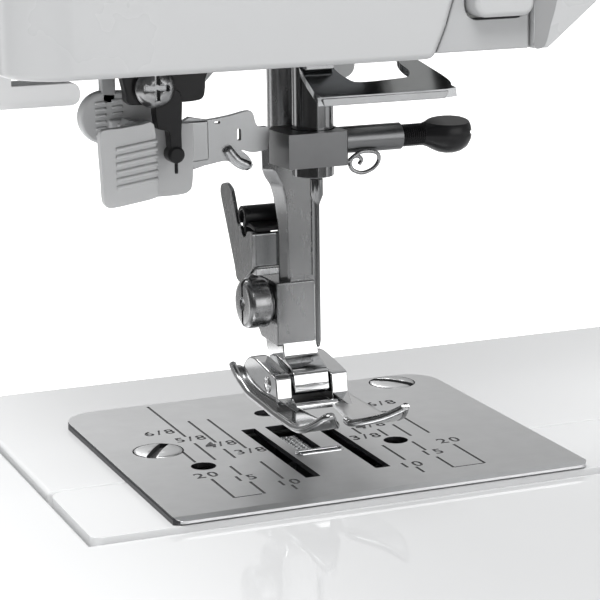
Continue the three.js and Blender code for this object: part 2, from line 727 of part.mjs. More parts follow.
// Clamp on the bar's end, a shank below it, then the screw block and the hinge hook.
function ankle() {
  const shank = alongY(
    outline([
      [-2.4, 25.2], [4, 25.2], [4.1, 38], [4.6, 41], [4.9, 46.9], [-4.7, 46.9], [-4.8, 41.4],
      [-3.2, 39.4], [-2.6, 36],
    ]),
    ANKLE.front, ANKLE.back,
  );
  const block = alongX(
    outline([[7.5, 15], [14, 15], [17.4, 16.4], [17.4, 25.5], [7.5, 25.5]]), -3.6, 2.7,
  );
  const hook = alongX(
    outline([
      [7.5, 16], [7.1, 13.4], [3.3, 11.7], [2.8, 8.8], [3.4, 8], [5, 7.4], [8, 7.4], [9.6, 9.2],
      [9.6, 11.6], [14, 16],
    ]),
    -2.8, 2.8,
  );
  return cut(
    join(shank, block, hook),
    box(-6, -2.5, 7, 11, 43.6, 44.4), // clamp slit
    rodX(FOOT_PIN.y, FOOT_PIN.z, 0.9 + GAP, -4, 4, 10),
    rodX(ANKLE_SCREW.y, ANKLE_SCREW.z, 1.5 + GAP, -4, 0, 10),
  );
}

function ankleScrew() {
  const { y, z, r } = ANKLE_SCREW;
  const head = turnedX(
    [[0, -7.9], [r - 0.4, -7.9], [r, -7.5], [r, -4.3], [r - 0.3, -3.9], [0, -3.9]], 20,
  );
  return cut(
    join(head, rodX(0, 0, 1.5, -4.5, -0.4, 10)),
    box(-8.2, -7.3, -4, 4, -0.35, 0.35),
  ).translate(0, y, z);
}

// Snap lever behind the ankle: side cheek on the left with a hooked thumb tab.
function releaseLever() {
  const cheek = alongX(
    outline([
      [17, 23.6], [19.3, 23.2], [21, 28.5], [22.6, 33.6], [24.2, 37], [23.6, 38.4], [22.2, 38.8],
      [21, 37.8], [19.6, 32], [17.6, 30.6], [16.4, 30.9], [15.8, 32.2], [13, 32.4], [13, 26.8],
      [14.6, 25],
    ]),
    -6.4, -5.6,
  );
  const front = box(-6, -4, 13, 13.8, 27, 32.4);
  const back = box(-6.2, 2.6, 17.9, 18.8, 24, 36.2);
  const tab = alongX(roundRect(14, 18.8, 33.4, 36.8, [1.4, 0, 1.4, 1.4]), -5.8, -3.9, 3);
  return join(cheek, front, back, tab);
}

// Zigzag foot, raised: sole with turned-up toes, slot for the needle, two uprights and the
// snap pin that is riveted through them.
function presserFoot() {
  const side = outline([
    [-14.9, 10.7], [-13.9, 9.1], [-12, 7.4], [-9.4, 6.3], [10, 6.3], [13, 6.7], [17, 8.2],
    [20.2, 10], [19.8, 11], [16.6, 9.3], [13, 7.9], [9.6, 7.5], [-9.2, 7.5], [-11.4, 8.4],
    [-13.2, 9.9], [-14.3, 11.5],
  ]);
  const sole = alongX(side, -8, 8);
  const cheek = outline([
    [2.1, 7.2], [2.8, 11.3], [5.7, 11.9], [11.9, 12.7], [14.4, 12.1], [16.6, 10.6], [17, 7.2],
  ]);
  const cheeks = [[-5.9, -3.1], [3.1, 5.9]].map(([x0, x1]) => alongX(cheek, x0, x1));
  const body = cut(
    join(sole, ...cheeks),
    box(-2.5, 2, -8, 0.6, 5, 13), // needle slot
    box(-1.5, 0.3, -16, -7.9, 5, 13), // thread slot between the toes
    box(-3.05, 3.05, 2, 21, 7.05, 12), // seat for the ankle's hook
  );
  return join(body, rodX(FOOT_PIN.y, FOOT_PIN.z, 0.9, -6.1, 6.1, 10));
}

const LIFTER = { y: 31, z: 84.5 };

function presserLifter() {
  const arm = alongX(
    outline([
      [26.5, 83.4], [28.2, 80.3], [35, 79.7], [52, 83], [66, 86], [68, 89], [67, 92], [62, 93], [50, 90],
      [35, 89.5], [26.5, 89.5],
    ]),
    -2.4, 2.4,
  );
  return cut(arm, rodX(LIFTER.y, LIFTER.z, 1.8, -4, 4, 10));
}

// ---------------------------------------------------------------- under the head
function threadGuidePlate() {
  // A flat hook of sheet steel that leans towards the operator.
  const sheet = outline([
    [-2.4, 0], [17.4, 0], [18.6, 0.9], [18.2, 2], [14.4, 6.6], [13.2, 6.9], [12.4, 6.2], [12.6, 5],
    [13, 3.6], [12, 2.7], [3.8, 2.4], [2.2, 3.4], [1.4, 5], [1.4, 6.4], [-3.4, 6.4], [-3.4, 1.2],
  ]);
  const lean = 0.66;
  const strap = box(-3.4, 1.4, -4.4, -3.1, 58.6, 65.7);
  return join(alongZ(sheet, -1.3, 0).rotateX(lean).translate(0, -8.6, 55.9), strap);
}

function threaderBracket() {
  const plate = outline([
    [-29.2, 57], [-28, 56], [-19.4, 56], [-18.2, 57.4], [-18, 61], [-16.6, 66], [-29, 66],
  ]);
  const stem = outline([
    [-25.6, 56.5], [-21.8, 56.5], [-21.8, 52], [-22.2, 49.6], [-22, 47.8], [-22.9, 46.8], [-23.9, 47.8],
    [-23.6, 49.6], [-25.6, 53],
  ]);
  const arm = box(-29, -17, -2, 29.7, 66.5, 71);
  return join(
    alongY(plate, -3.4, -1), alongY(stem, -3.4, -0.6), arm, box(-29, -17, -3.4, 0, 64, 71),
  );
}

function threaderScrew() {
  const head = turnedFront([[0, 0], [3, 0], [2.8, 1.1], [1.6, 1.7], [0, 1.8]], 16);
  return cut(
    head,
    box(-1.7, 1.7, -3, -0.9, -0.35, 0.35),
    box(-0.35, 0.35, -3, -0.9, -1.7, 1.7),
  ).translate(-26, -3.4 - GAP, 57.9);
}

function threaderSlider() {
  const backGrip = alongY(roundRect(-35.2, -27.6, 48.6, 56.4, [3.6, 0, 0, 3.8]), 2.6, 5.6, 5);
  const body = alongY(roundRect(-30.6, -19.7, 41.6, 52, [1.6, 1.2, 0.8, 0.8]), 0, 2.8, 3);
  const pad = alongY(roundRect(-34.9, -26.8, 41.9, 53, [1.2, 0.4, 0.4, 0.4]), -6, -4.4, 3);
  const web = box(-29.5, -27, -4.6, 0.2, 42.4, 52.4);
  const ribs = Array.from({ length: 6 }, (unused, i) =>
    box(-32.8, -26.7, -6.4, -5.8, 44.2 + i * 1.1, 44.7 + i * 1.1),
  );
  const rail = box(-32, -29.6, 3, 5.2, 56, 78);
  return join(backGrip, body, pad, web, rail, ...ribs);
}

function threaderHook() {
  const arm = outline([
    [-19.3, 45.3], [-13.7, 45.5], [-12.6, 45], [-11, 44.2], [-9.8, 44.6], [-9.9, 45.6], [-11.2, 47.1],
    [-9.6, 46.6], [-7.2, 47], [-6.9, 50.4], [-8.7, 50.4], [-9.5, 52.8], [-16.5, 52], [-19.3, 52],
  ]);
  return alongY(arm, 1.4, 2.4);
}

function threadCutter() {
  return join(
    alongY(roundRect(-49.2, -36.8, 56, 59.2, [0.8, 1.4, 1.4, 0.8]), -3, 3, 4),
    box(-49.2, -46.6, -3, 3, 58, 78),
  );
}

function buttonholeLever() {
  return alongY(roundRect(11, 16, 54, 96, [2, 2, 0, 0]), 22, 25, 4);
}

function lampLens() {
  return alongX(
    outline([[-16, 64.6], [8, 64.6], [6, 68], [-14, 68]]), 13, 20,
  );
}

// ---------------------------------------------------------------- controls
function dialKnob({ x, z, r, stem }) {
  const grip = turnedFront(
    [[0, 0], [r, 0], [r, 4], [r - 1, 5], [r * 0.45, 5.4], [r * 0.4, 10], [r * 0.32, 11], [0, 11.2]], 24,
  );
  return join(grip, rodY(0, 0, stem, -1, 6, 14)).translate(x, FACE_FRONT - GAP, z);
}

function reverseButton() {
  const { x0, x1, z0, z1 } = REVERSE;
  return join(
    alongY(roundRect(x0, x1, z0, z1, [3, 3, 1.5, 1.5]), FACE_FRONT - 1.6, FACE_FRONT + 1, 5),
    box(x0 + 1, x1 - 1, FACE_FRONT, FACE_FRONT + 9, z0 + 3, z1 - 2),
  );
}

function pressureDial() {
  const { x, y, r } = PRESSURE_DIAL;
  return turned([[0, 0], [3, 0], [3, 3], [r, 3], [r, 16.5], [r - 1.5, 17.5], [0, 17.5]], 18)
    .translate(x, y, 196);
}

function spoolPin() {
  return turned([[0, 0], [SPOOL_PIN.r, 0], [SPOOL_PIN.r, 24], [1.4, 26], [0, 26]], 12)
    .translate(SPOOL_PIN.x, SPOOL_PIN.y, 189);
}

function bobbinWinder() {
  const { x, y, r } = WINDER;
  return turned([[0, 0], [r, 0], [r, 10.8], [11, 10.8], [11, 12.2], [3, 12.2], [3, 13], [0, 13]], 18)
    .translate(x, y, 201);
}

function powerSwitch() {
  return box(BASE.right - 2.6, BASE.right + 1.4, -61.6, -40.4, -45.6, -30.4);
}

function powerSocket() {
  const body = box(BASE.right - 20, BASE.right + 0.6, -19.6, 3.6, -49.6, -30.4);
  return cut(
    body,
    box(BASE.right - 14, BASE.right + 1, -17, 1, -47, -33),
  );
}

// ---------------------------------------------------------------- assembly
piece("frame_casting", frameCasting(), "cast");
piece("front_casing", frontCasing(), "shell");
piece("rear_casing", rearCasing(), "shell");
piece("face_cover", faceCover(), "shell");
piece("control_panel", controlPanel(), "panel");
piece("top_cover", topCover(), "shell");
piece("base_housing", baseHousing(), "shell");
piece("base_tray", baseTray(), "grey");

piece("free_arm_casing", freeArmCasing(), "shell");
piece("hook_cover", hookCover(), "shell");
piece("extension_table", extensionTable(), "shell");
piece("needle_plate", needlePlate(), "plate");
for (const screw of PLATE_SCREWS) piece(screw.name, plateScrew(screw), "steel");
piece("feed_dog", feedDog(), "steel");
piece("feed_carrier", feedCarrier(), "steel");

piece("main_shaft", mainShaft(), "steel");
piece("crank", crank(), "steel");
piece("connecting_rod", connectingRod(), "steel");
piece("handwheel", handwheel(), "shell");
piece("clutch_knob", clutchKnob(), "panel");
piece("motor", motor(), "black");
piece("motor_pulley", motorPulley(), "steel");
piece("motor_belt", motorBelt(), "rubber");
piece("timing_belt", timingBelt(), "rubber");
piece("lower_shaft", lowerShaft(), "steel");

piece("hook_race", hookRace(), "steel");
piece("hook", hook(), "steel");
piece("bobbin_case", bobbinCase(), "chrome");
piece("bobbin", bobbin(), "lens");

piece("needle_bar", needleBar(), "chrome");
piece("needle_clamp", needleClamp(), "chrome");
piece("clamp_screw", clampScrew(), "black");
piece("needle", needle(), "chrome");
piece("needle_thread_guide", needleThreadGuide(), "chrome");
piece("take_up_lever", takeUpLever(), "steel");

piece("presser_bar", presserBar(), "chrome");
piece("ankle", ankle(), "chrome");
piece("ankle_screw", ankleScrew(), "chrome");
piece("release_lever", releaseLever(), "steel");
piece("presser_foot", presserFoot(), "chrome");
piece("presser_lifter", presserLifter(), "black");

piece("thread_guide_plate", threadGuidePlate(), "steel");
piece("threader_bracket", threaderBracket(), "black");
piece("threader_screw", threaderScrew(), "chrome");
piece("threader_slider", threaderSlider(), "grey");
piece("threader_hook", threaderHook(), "grey");
piece("thread_cutter", threadCutter(), "shell");
piece("buttonhole_lever", buttonholeLever(), "grey");
piece("lamp_lens", lampLens(), "lens");

for (const dial of DIALS) piece(dial.name, dialKnob(dial), "panel");
piece("reverse_button", reverseButton(), "shell");
piece("pressure_dial", pressureDial(), "panel");
piece("spool_pin", spoolPin(), "panel");
piece("bobbin_winder", bobbinWinder(), "panel");
piece("carry_handle", carryHandle(), "panel");
piece("power_switch", powerSwitch(), "black");
piece("power_socket", powerSocket(), "black");

export default machine;
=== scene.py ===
import json
import math

import bmesh
import bpy
from mathutils import Matrix, Vector


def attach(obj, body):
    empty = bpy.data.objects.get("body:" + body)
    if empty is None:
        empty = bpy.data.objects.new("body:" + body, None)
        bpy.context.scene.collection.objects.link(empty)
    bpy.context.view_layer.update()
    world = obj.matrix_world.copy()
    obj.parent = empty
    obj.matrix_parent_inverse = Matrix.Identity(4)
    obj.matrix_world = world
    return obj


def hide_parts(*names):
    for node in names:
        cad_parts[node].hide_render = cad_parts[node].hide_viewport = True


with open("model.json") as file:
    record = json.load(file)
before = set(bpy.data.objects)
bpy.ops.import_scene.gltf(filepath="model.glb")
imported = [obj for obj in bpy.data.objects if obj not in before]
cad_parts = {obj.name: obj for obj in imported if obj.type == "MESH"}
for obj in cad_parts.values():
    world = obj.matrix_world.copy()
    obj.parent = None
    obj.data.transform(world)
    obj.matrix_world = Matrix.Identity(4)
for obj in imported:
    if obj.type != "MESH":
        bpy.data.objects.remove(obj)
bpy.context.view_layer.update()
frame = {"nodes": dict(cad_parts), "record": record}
NODES = frame["nodes"]
MM = 0.001

# The needle's point of entry on the bed, in the frame's millimetres. Every place below that is
# given in millimetres is measured from it.
NEEDLE = Vector((-135.0, 16.0, 80.0))


def at(x, y, z):
    """A place given in millimetres from the needle's point of entry, in the frame's metres."""
    return (Vector((x, y, z)) + NEEDLE) * MM


def linked(name, data):
    """A new object in the scene that holds the data."""
    item = bpy.data.objects.new(name, data)
    bpy.context.scene.collection.objects.link(item)
    return item


# ---------------------------------------------------------------- camera

def make_camera():
    """Looks at the needle from the front left and a little above, through a long lens."""
    data = bpy.data.cameras.new("camera")
    data.lens, data.sensor_width = 130.0, 36.0
    data.clip_start, data.clip_end = 0.01, 50.0
    camera = linked("camera", data)
    place = Vector((-0.25714, -0.27778, 0.17739))
    right = Vector((0.92539, -0.37881, -0.01257))
    up = Vector((0.09675, 0.20404, 0.97417))
    back = right.cross(up).normalized()
    camera.matrix_world = Matrix((
        (right.x, up.x, back.x, place.x),
        (right.y, up.y, back.y, place.y),
        (right.z, up.z, back.z, place.z),
        (0, 0, 0, 1),
    ))
    bpy.context.scene.camera = camera


# ---------------------------------------------------------------- materials

def new_material(name, color, roughness, metallic=0.0, **more):
    material = bpy.data.materials.new(name)
    material.use_nodes = True
    shader = material.node_tree.nodes["Principled BSDF"]
    shader.inputs["Base Color"].default_value = (*color, 1)
    shader.inputs["Roughness"].default_value = roughness
    shader.inputs["Metallic"].default_value = metallic
    for socket, value in more.items():
        shader.inputs[socket.replace("_", " ")].default_value = value
    return material, material.node_tree, shader


def add_noise(tree, scale, stretch=(1, 1, 1), detail=4.0):
    """Noise over the object's own metres; stretch below 1 draws it out along that axis."""
    place = tree.nodes.new("ShaderNodeTexCoord")
    mapping = tree.nodes.new("ShaderNodeMapping")
    mapping.inputs["Scale"].default_value = stretch
    noise = tree.nodes.new("ShaderNodeTexNoise")
    noise.inputs["Scale"].default_value = scale
    noise.inputs["Detail"].default_value = detail
    tree.links.new(place.outputs["Object"], mapping.inputs["Vector"])
    tree.links.new(mapping.outputs["Vector"], noise.inputs["Vector"])
    return noise.outputs["Fac"]


def spread(tree, fac, low, high):
    """Draws the middle of a noise's range out to low and high."""
    ramp = tree.nodes.new("ShaderNodeMapRange")
    ramp.inputs["From Min"].default_value = 0.3
    ramp.inputs["From Max"].default_value = 0.7
    ramp.inputs["To Min"].default_value = low
    ramp.inputs["To Max"].default_value = high
    tree.links.new(fac, ramp.inputs["Value"])
    return ramp.outputs["Result"]


def blend_colors(tree, fac, first, second):
    mix = tree.nodes.new("ShaderNodeMix")
    mix.data_type = "RGBA"
    mix.inputs["A"].default_value = (*first, 1)
    mix.inputs["B"].default_value = (*second, 1)
    tree.links.new(spread(tree, fac, 0, 1), mix.inputs["Factor"])
    return mix.outputs["Result"]


def add_bump(tree, shader, height, depth, strength=1.0):
    bump = tree.nodes.new("ShaderNodeBump")
    bump.inputs["Distance"].default_value = depth
    bump.inputs["Strength"].default_value = strength
    tree.links.new(height, bump.inputs["Height"])
    tree.links.new(bump.outputs["Normal"], shader.inputs["Normal"])


def plastic(name, color, roughness, grain=0.0, specular=0.5):
    """Moulded plastic: faint colour drift, roughness that varies and, where asked for, a fine grain."""
    material, tree, shader = new_material(name, color, roughness, Specular_IOR_Level=specular)
    drift = add_noise(tree, 18)
    darker = [c * 0.99 for c in color]
    tree.links.new(blend_colors(tree, drift, darker, color), shader.inputs["Base Color"])
    wear = add_noise(tree, 45)
    tree.links.new(spread(tree, wear, roughness * 0.95, roughness * 1.05), shader.inputs["Roughness"])
    if grain:
        add_bump(tree, shader, add_noise(tree, 1400), grain, 0.5)
    return material


def metal(name, color, roughness, brush=None, depth=0.000004, scale=3000):
    """Metal with rubbing marks; brush stretches the marks along one axis."""
    material, tree, shader = new_material(name, color, roughness, 1.0)
    marks = add_noise(tree, scale, brush or (1, 1, 1), 2.0)
    tree.links.new(spread(tree, marks, roughness * 0.93, roughness * 1.07), shader.inputs["Roughness"])
    tone = add_noise(tree, 300)
    darker = [c * 0.95 for c in color]
    tree.links.new(blend_colors(tree, tone, darker, color), shader.inputs["Base Color"])
    add_bump(tree, shader, marks, depth, 0.6)
    return material


MATT = 0.22  # the black mouldings are matt in highlights as well as dark
MATERIALS = {
    "shell": plastic("shell_plastic", (0.41, 0.415, 0.42), 0.28),
    "bed": plastic("bed_plastic", (0.7, 0.705, 0.71), 0.035),
    "panel": plastic("panel_plastic", (0.36, 0.365, 0.37), 0.4),
    "grey_plastic": plastic("grey_plastic", (0.47, 0.475, 0.48), 0.42),
    "black_plastic": plastic("black_plastic", (0.012, 0.012, 0.013), 0.28, specular=MATT),
    "rubber": plastic("black_rubber", (0.02, 0.02, 0.02), 0.75, grain=0.00008, specular=MATT),
    "lens": plastic("frosted_lens", (0.9, 0.9, 0.88), 0.35),
    "plate_steel": metal("plate_steel", (0.73, 0.735, 0.74), 0.36, (0.04, 1, 1), depth=0.000002),
    "chrome": metal("chrome", (0.78, 0.785, 0.79), 0.09, depth=0.0000004),
    # a darkened copy of the foot's chrome for the left ski, the beads and the cheeks' sides: painted shade
    "ski_painted_shade": metal("ski_painted_shade", (0.42, 0.423, 0.426), 0.12, depth=0.0000004),
    # a brightened copy of the same chrome for the right ski: painted highlight
    "ski_painted_highlight": metal("ski_painted_highlight", (0.9, 0.9, 0.9), 0.3, depth=0.00000005),
    # darkened chrome for the needle bar and needle: its low colour paints the dark reflections they show
    "bar_painted_shade_chrome": metal("bar_painted_shade_chrome", (0.2, 0.202, 0.205), 0.14, (1, 1, 0.1), depth=0.0000004),
    "satin_chrome": metal("satin_chrome", (0.29, 0.292, 0.295), 0.26, (1, 1, 0.25), depth=0.0000004,
                          scale=1600),
    "dark_steel": metal("dark_steel", (0.3, 0.305, 0.31), 0.2, depth=0.000001),
    # near black, for printed and engraved marks, and for painted shade in slots, wells, recesses and gaps
    "marks_and_painted_shade": plastic("marks_and_painted_shade", (0.06, 0.06, 0.062), 0.6),
    # near-black metal for the needle plate's left walls, hole walls and the strip under its edge: painted
    # shade
    "plate_painted_shade": metal("plate_painted_shade", (0.08, 0.08, 0.085), 0.4),
    # dark grey for the strip right of the panel: painted shade of the concave fold
    "fold_painted_shade": plastic("fold_painted_shade", (0.24, 0.243, 0.246), 0.5),
    "light_grey": plastic("light_grey", (0.46, 0.465, 0.47), 0.35),
    "dull_chrome": metal("dull_chrome", (0.17, 0.172, 0.175), 0.3, depth=0.0000004, scale=1600),
    "zinc": metal("zinc", (0.38, 0.385, 0.39), 0.34, depth=0.000001),
    "steel": metal("machined_steel", (0.6, 0.605, 0.61), 0.28, (1, 1, 0.1)),
    # near black, for the sole's middle, the ankle screw's slot and the rear vents: painted shade
    "blackened_steel": metal("blackened_steel", (0.05, 0.05, 0.052), 0.42),
    "cast": metal("cast_aluminium", (0.52, 0.53, 0.54), 0.5, depth=0.00004, scale=1500),
}


def painted(piece, material):
    piece.data.materials.clear()
    piece.data.materials.append(MATERIALS[material])
    return piece


def smooth(piece):
    for face in piece.data.polygons:
        face.use_smooth = True
    return piece


def add_bevel(piece, width, segments, angle):
    """Rounds the edges sharper than angle, in degrees, by width millimetres."""
    bevel = piece.modifiers.new("edges", "BEVEL")
    bevel.width = width * MM
    bevel.segments = segments
    bevel.limit_method = "ANGLE"
    bevel.angle_limit = math.radians(angle)
    bevel.harden_normals = True


# ---------------------------------------------------------------- finishing the frame's own nodes

# How far each node's edges are rounded, in millimetres; the others take SMALL_EDGE.
EDGE = {
    "frame_casting": 0.8, "front_casing": 0.9, "rear_casing": 0.9, "face_cover": 0.9, "top_cover": 1.2,
    "base_housing": 1.2, "base_tray": 0.8, "free_arm_casing": 0.6, "hook_cover": 0.4,
    "extension_table": 0.9, "handwheel": 1.0, "clutch_knob": 0.6, "carry_handle": 0.8,
    "pressure_dial": 0.4, "spool_pin": 0.4, "bobbin_winder": 0.3, "power_switch": 0.4, "power_socket": 0.5,
    "motor": 0.8, "needle_clamp": 0.32,
}
SMALL_EDGE = 0.12
# Nodes that don't take the material their slot in the record is named after.
NODE_MATERIALS = {
    "extension_table": "bed", "free_arm_casing": "bed", "hook_cover": "bed", "base_housing": "bed",
    "needle_clamp": "dull_chrome", "thread_cutter": "bed", "needle_bar": "bar_painted_shade_chrome",
    "presser_bar": "satin_chrome", "needle": "bar_painted_shade_chrome", "feed_dog": "dark_steel",
}


def finish_node(node, material):
    """Rounds a node's edges and smooths its curved faces without touching its own vertices."""
    piece = smooth(painted(NODES[node], material))
    weld = piece.modifiers.new("weld", "WELD")
    weld.merge_threshold = 0.000002
    flat = piece.modifiers.new("flat_faces", "DECIMATE")
    flat.decimate_type = "DISSOLVE"
    flat.angle_limit = math.radians(0.6)
    add_bevel(piece, EDGE.get(node, SMALL_EDGE), 3, 32)
    piece.modifiers.new("normals", "WEIGHTED_NORMAL").keep_sharp = True


def finish_nodes():
    slots = {row["node"]: row["material_slot"] for row in frame["record"]["subparts"]}
    for node in NODES:
        finish_node(node, NODE_MATERIALS.get(node, slots[node]))


# ---------------------------------------------------------------- building pieces

PLANES = {
    "x": lambda u, v, w: (w, u, v),  # an outline in Y and Z, run along X
    "y": lambda u, v, w: (u, w, v),  # an outline in X and Z, run along Y
    "z": lambda u, v, w: (u, v, w),  # an outline in X and Y, run along Z
}


def make_mesh(name, points, faces):
    """A closed mesh from places in millimetres, its faces turned outwards."""
    mesh = bpy.data.meshes.new(name)
    mesh.from_pydata([at(*p) for p in points], [], faces)
    work = bmesh.new()
    work.from_mesh(mesh)
    bmesh.ops.remove_doubles(work, verts=work.verts, dist=0.000002)
    bmesh.ops.recalc_face_normals(work, faces=work.faces)
    work.to_mesh(mesh)
    work.free()
    return linked(name, mesh)


def prism(name, outline, axis, low, high):
    """An outline run along an axis from low to high."""
    place = PLANES[axis]
    n = len(outline)
    points = [place(u, v, low) for u, v in outline] + [place(u, v, high) for u, v in outline]
    sides = [(i, (i + 1) % n, n + (i + 1) % n, n + i) for i in range(n)]
    return make_mesh(name, points, [tuple(range(n)), tuple(range(n, 2 * n)), *sides])


def curve_places(a, b, c, d, steps):
    """Places from b up to c on the Catmull-Rom curve through all four."""
    out = []
    for s in range(steps):
        t = s / steps
        out.append(0.5 * (2 * b + (c - a) * t + (2 * a - 5 * b + 4 * c - d) * t ** 2
                          + (3 * b - a - 3 * c + d) * t ** 3))
    return out


def smooth_outline(points):
    """A closed smooth curve through the points."""
    steps = 3
    out = []
    n = len(points)
    for i in range(n):
        near = [Vector(points[(i + k) % n]) for k in (-1, 0, 1, 2)]
        out += [tuple(place) for place in curve_places(*near, steps)]
    return out


def box(x0, x1, y0, y1):
    return [(x0, y0), (x1, y0), (x1, y1), (x0, y1)]


def round_rect(x0, x1, y0, y1, radius, steps=5):
    out = []
    corners = ((x1 - radius, y0 + radius, -90), (x1 - radius, y1 - radius, 0),
               (x0 + radius, y1 - radius, 90), (x0 + radius, y0 + radius, 180))
    for x, y, start in corners:
        for s in range(steps + 1):
            a = math.radians(start + 90 * s / steps)
            out.append((x + radius * math.cos(a), y + radius * math.sin(a)))
    return out


def ring_outline(x, y, radius, sides=32):
    turns = [2 * math.pi * i / sides for i in range(sides)]
    return [(x + radius * math.cos(a), y + radius * math.sin(a)) for a in turns]


def loft(name, rings):
    """Skins rings that all have the same number of places."""
    n = len(rings[0])
    points = [p for ring in rings for p in ring]
    faces = [tuple(range(n)), tuple(range(len(points) - n, len(points)))]
    for k in range(len(rings) - 1):
        for i in range(n):
            j = (i + 1) % n
            faces.append((k * n + i, k * n + j, (k + 1) * n + j, (k + 1) * n + i))
    return make_mesh(name, points, faces)


def turned(name, profile, centre, axis, sides=48):
    """Turned about an axis through centre; profile is (radius, distance along the axis)."""
    along = Vector(axis).normalized()
    across = along.orthogonal().normalized()
    third = along.cross(across)
    rings = []
    for radius, distance in profile:
        ring = []
        for i in range(sides):
            a = 2 * math.pi * i / sides
            spoke = across * math.cos(a) + third * math.sin(a)
            ring.append(tuple(Vector(centre) + along * distance + spoke * max(radius, 0.001)))
        rings.append(ring)
    return loft(name, rings)


def tube(name, path, radius, sides=14, steps=6, closed=False):
    """A round wire along a smooth path."""
    line = [Vector(p) for p in path]
    if not closed:
        line = [2 * line[0] - line[1], *line, 2 * line[-1] - line[-2]]
    fine = []
    count = len(line) if closed else len(line) - 3
    for i in range(count):
        fine += curve_places(*(line[(i + k) % len(line)] for k in range(4)), steps)
    if not closed:
        fine.append(line[-2])
    rings, across = [], None
    for i, place in enumerate(fine):
        before, after = fine[max(i - 1, 0)], fine[min(i + 1, len(fine) - 1)]
        along = (after - before).normalized()
        across = along.orthogonal() if across is None else across - along * across.dot(along)
        across.normalize()
        third = along.cross(across)
        rings.append([
            tuple(place + radius * (across * math.cos(a) + third * math.sin(a)))
            for a in (2 * math.pi * k / sides for k in range(sides))
        ])
    return loft(name, rings)


def bent_sheet(name, rows, thickness):
    """A sheet through cross rows, each (left end, right end), given its thickness upwards."""
    columns = 4
    grid = []
    for left, right in rows:
        grid.append([Vector(left).lerp(Vector(right), k / columns) for k in range(columns + 1)])
    top = []
    for i, row in enumerate(grid):
        ahead, behind = grid[min(i + 1, len(grid) - 1)][0], grid[max(i - 1, 0)][0]
        run = ahead - behind
        up = Vector((0, run.z, -run.y)).normalized()
        up = -up if up.z < 0 else up
        top.append([p + up * thickness for p in row])
    w = columns + 1
    points = [p for row in grid for p in row] + [p for row in top for p in row]
    half = len(grid) * w
    faces = []
    for i in range(len(grid) - 1):
        for k in range(columns):
            a, b, c, d = i * w + k, i * w + k + 1, (i + 1) * w + k + 1, (i + 1) * w + k
            faces += [(a, b, c, d), (half + a, half + d, half + c, half + b)]
        for k in (0, columns):
            a, d = i * w + k, (i + 1) * w + k
            faces.append((a, d, half + d, half + a))
    for i in (0, len(grid) - 1):
        for k in range(columns):
            a = i * w + k
            faces.append((a, a + 1, half + a + 1, half + a))
    return make_mesh(name, [tuple(p) for p in points], faces)


def join_pieces(name, *pieces):
    """Several closed meshes as one piece, each face keeping its material."""
    work = bmesh.new()
    materials = []
    for piece in pieces:
        finished = baked(piece)
        first = len(work.faces)
        work.from_mesh(finished)
        work.faces.ensure_lookup_table()
        for face in work.faces[first:]:
            material = finished.materials[face.material_index] if finished.materials else None
            if material not in materials:
                materials.append(material)
            face.material_index = materials.index(material)
        bpy.data.objects.remove(piece)
    mesh = bpy.data.meshes.new(name)
    work.to_mesh(mesh)
    work.free()
    for material in materials:
        mesh.materials.append(material)
    return linked(name, mesh)


def baked(piece):
    """The piece's mesh with its modifiers applied."""
    graph = bpy.context.evaluated_depsgraph_get()
    return bpy.data.meshes.new_from_object(piece.evaluated_get(graph))


def rounded(piece, width, segments=3, angle=30):
    """Smooth faces, and rounded edges where they are sharper than angle."""
    add_bevel(piece, width, segments, angle)
    return smooth(piece)


def slab(name, outline, axis, low, high, material, width, segments=3, angle=30):
    """A painted prism with its edges rounded by width."""
    return rounded(painted(prism(name, outline, axis, low, high), material), width, segments, angle)


def softened(piece):
    """A subdivision surface through the piece."""
    subdivision = piece.modifiers.new("smooth", "SUBSURF")
    subdivision.levels = subdivision.render_levels = 2
    return smooth(piece)


def carved(piece, *tools):
    """Cuts the tools out of the piece; cut faces take the tool's material."""
    for tool in tools:
        cut = piece.modifiers.new("cut", "BOOLEAN")
        cut.object, cut.operation, cut.solver = tool, "DIFFERENCE", "EXACT"
        cut.material_mode = "TRANSFER"
    mesh = baked(piece)
    piece.modifiers.clear()
    piece.data = mesh
    for tool in tools:
        bpy.data.objects.remove(tool)
    return piece


def crisp(piece, angle=32):
    """Smooth faces, with every edge sharper than angle kept sharp."""
    smooth(piece)
    piece.data.set_sharp_from_angle(angle=math.radians(angle))
    return piece


def finished(piece, body, slot, *nodes):
    """Puts a finished piece on its body, in place of the nodes that it stands for."""
    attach(piece, body)
    if nodes:
        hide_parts(*nodes)
    return piece


# ---------------------------------------------------------------- presser foot and ankle

def sole_height(y):
    """Underside of the foot along its length: flat, and turned up at both ends."""
    front, back = max(0.0, -9.0 - y), max(0.0, y - 10.0)
    return 6.3 + 0.082 * front ** 2 + 0.028 * back ** 2


def make_ski(name, plan, rim, material):
    """One side of the sole: a sheet with a round bead along the given part of its edge."""
    rows = [((x0, y, sole_height(y)), (x1, y, sole_height(y))) for y, x0, x1 in plan]
    sheet = softened(painted(bent_sheet(name, rows, 0.85), material))
    edge = [(x, y, sole_height(y) + 0.62) for x, y in rim]
    bead = crisp(painted(tube(name + "_bead", edge, 0.58, 16, 4), "ski_painted_shade"), 50)
    return [sheet, bead]


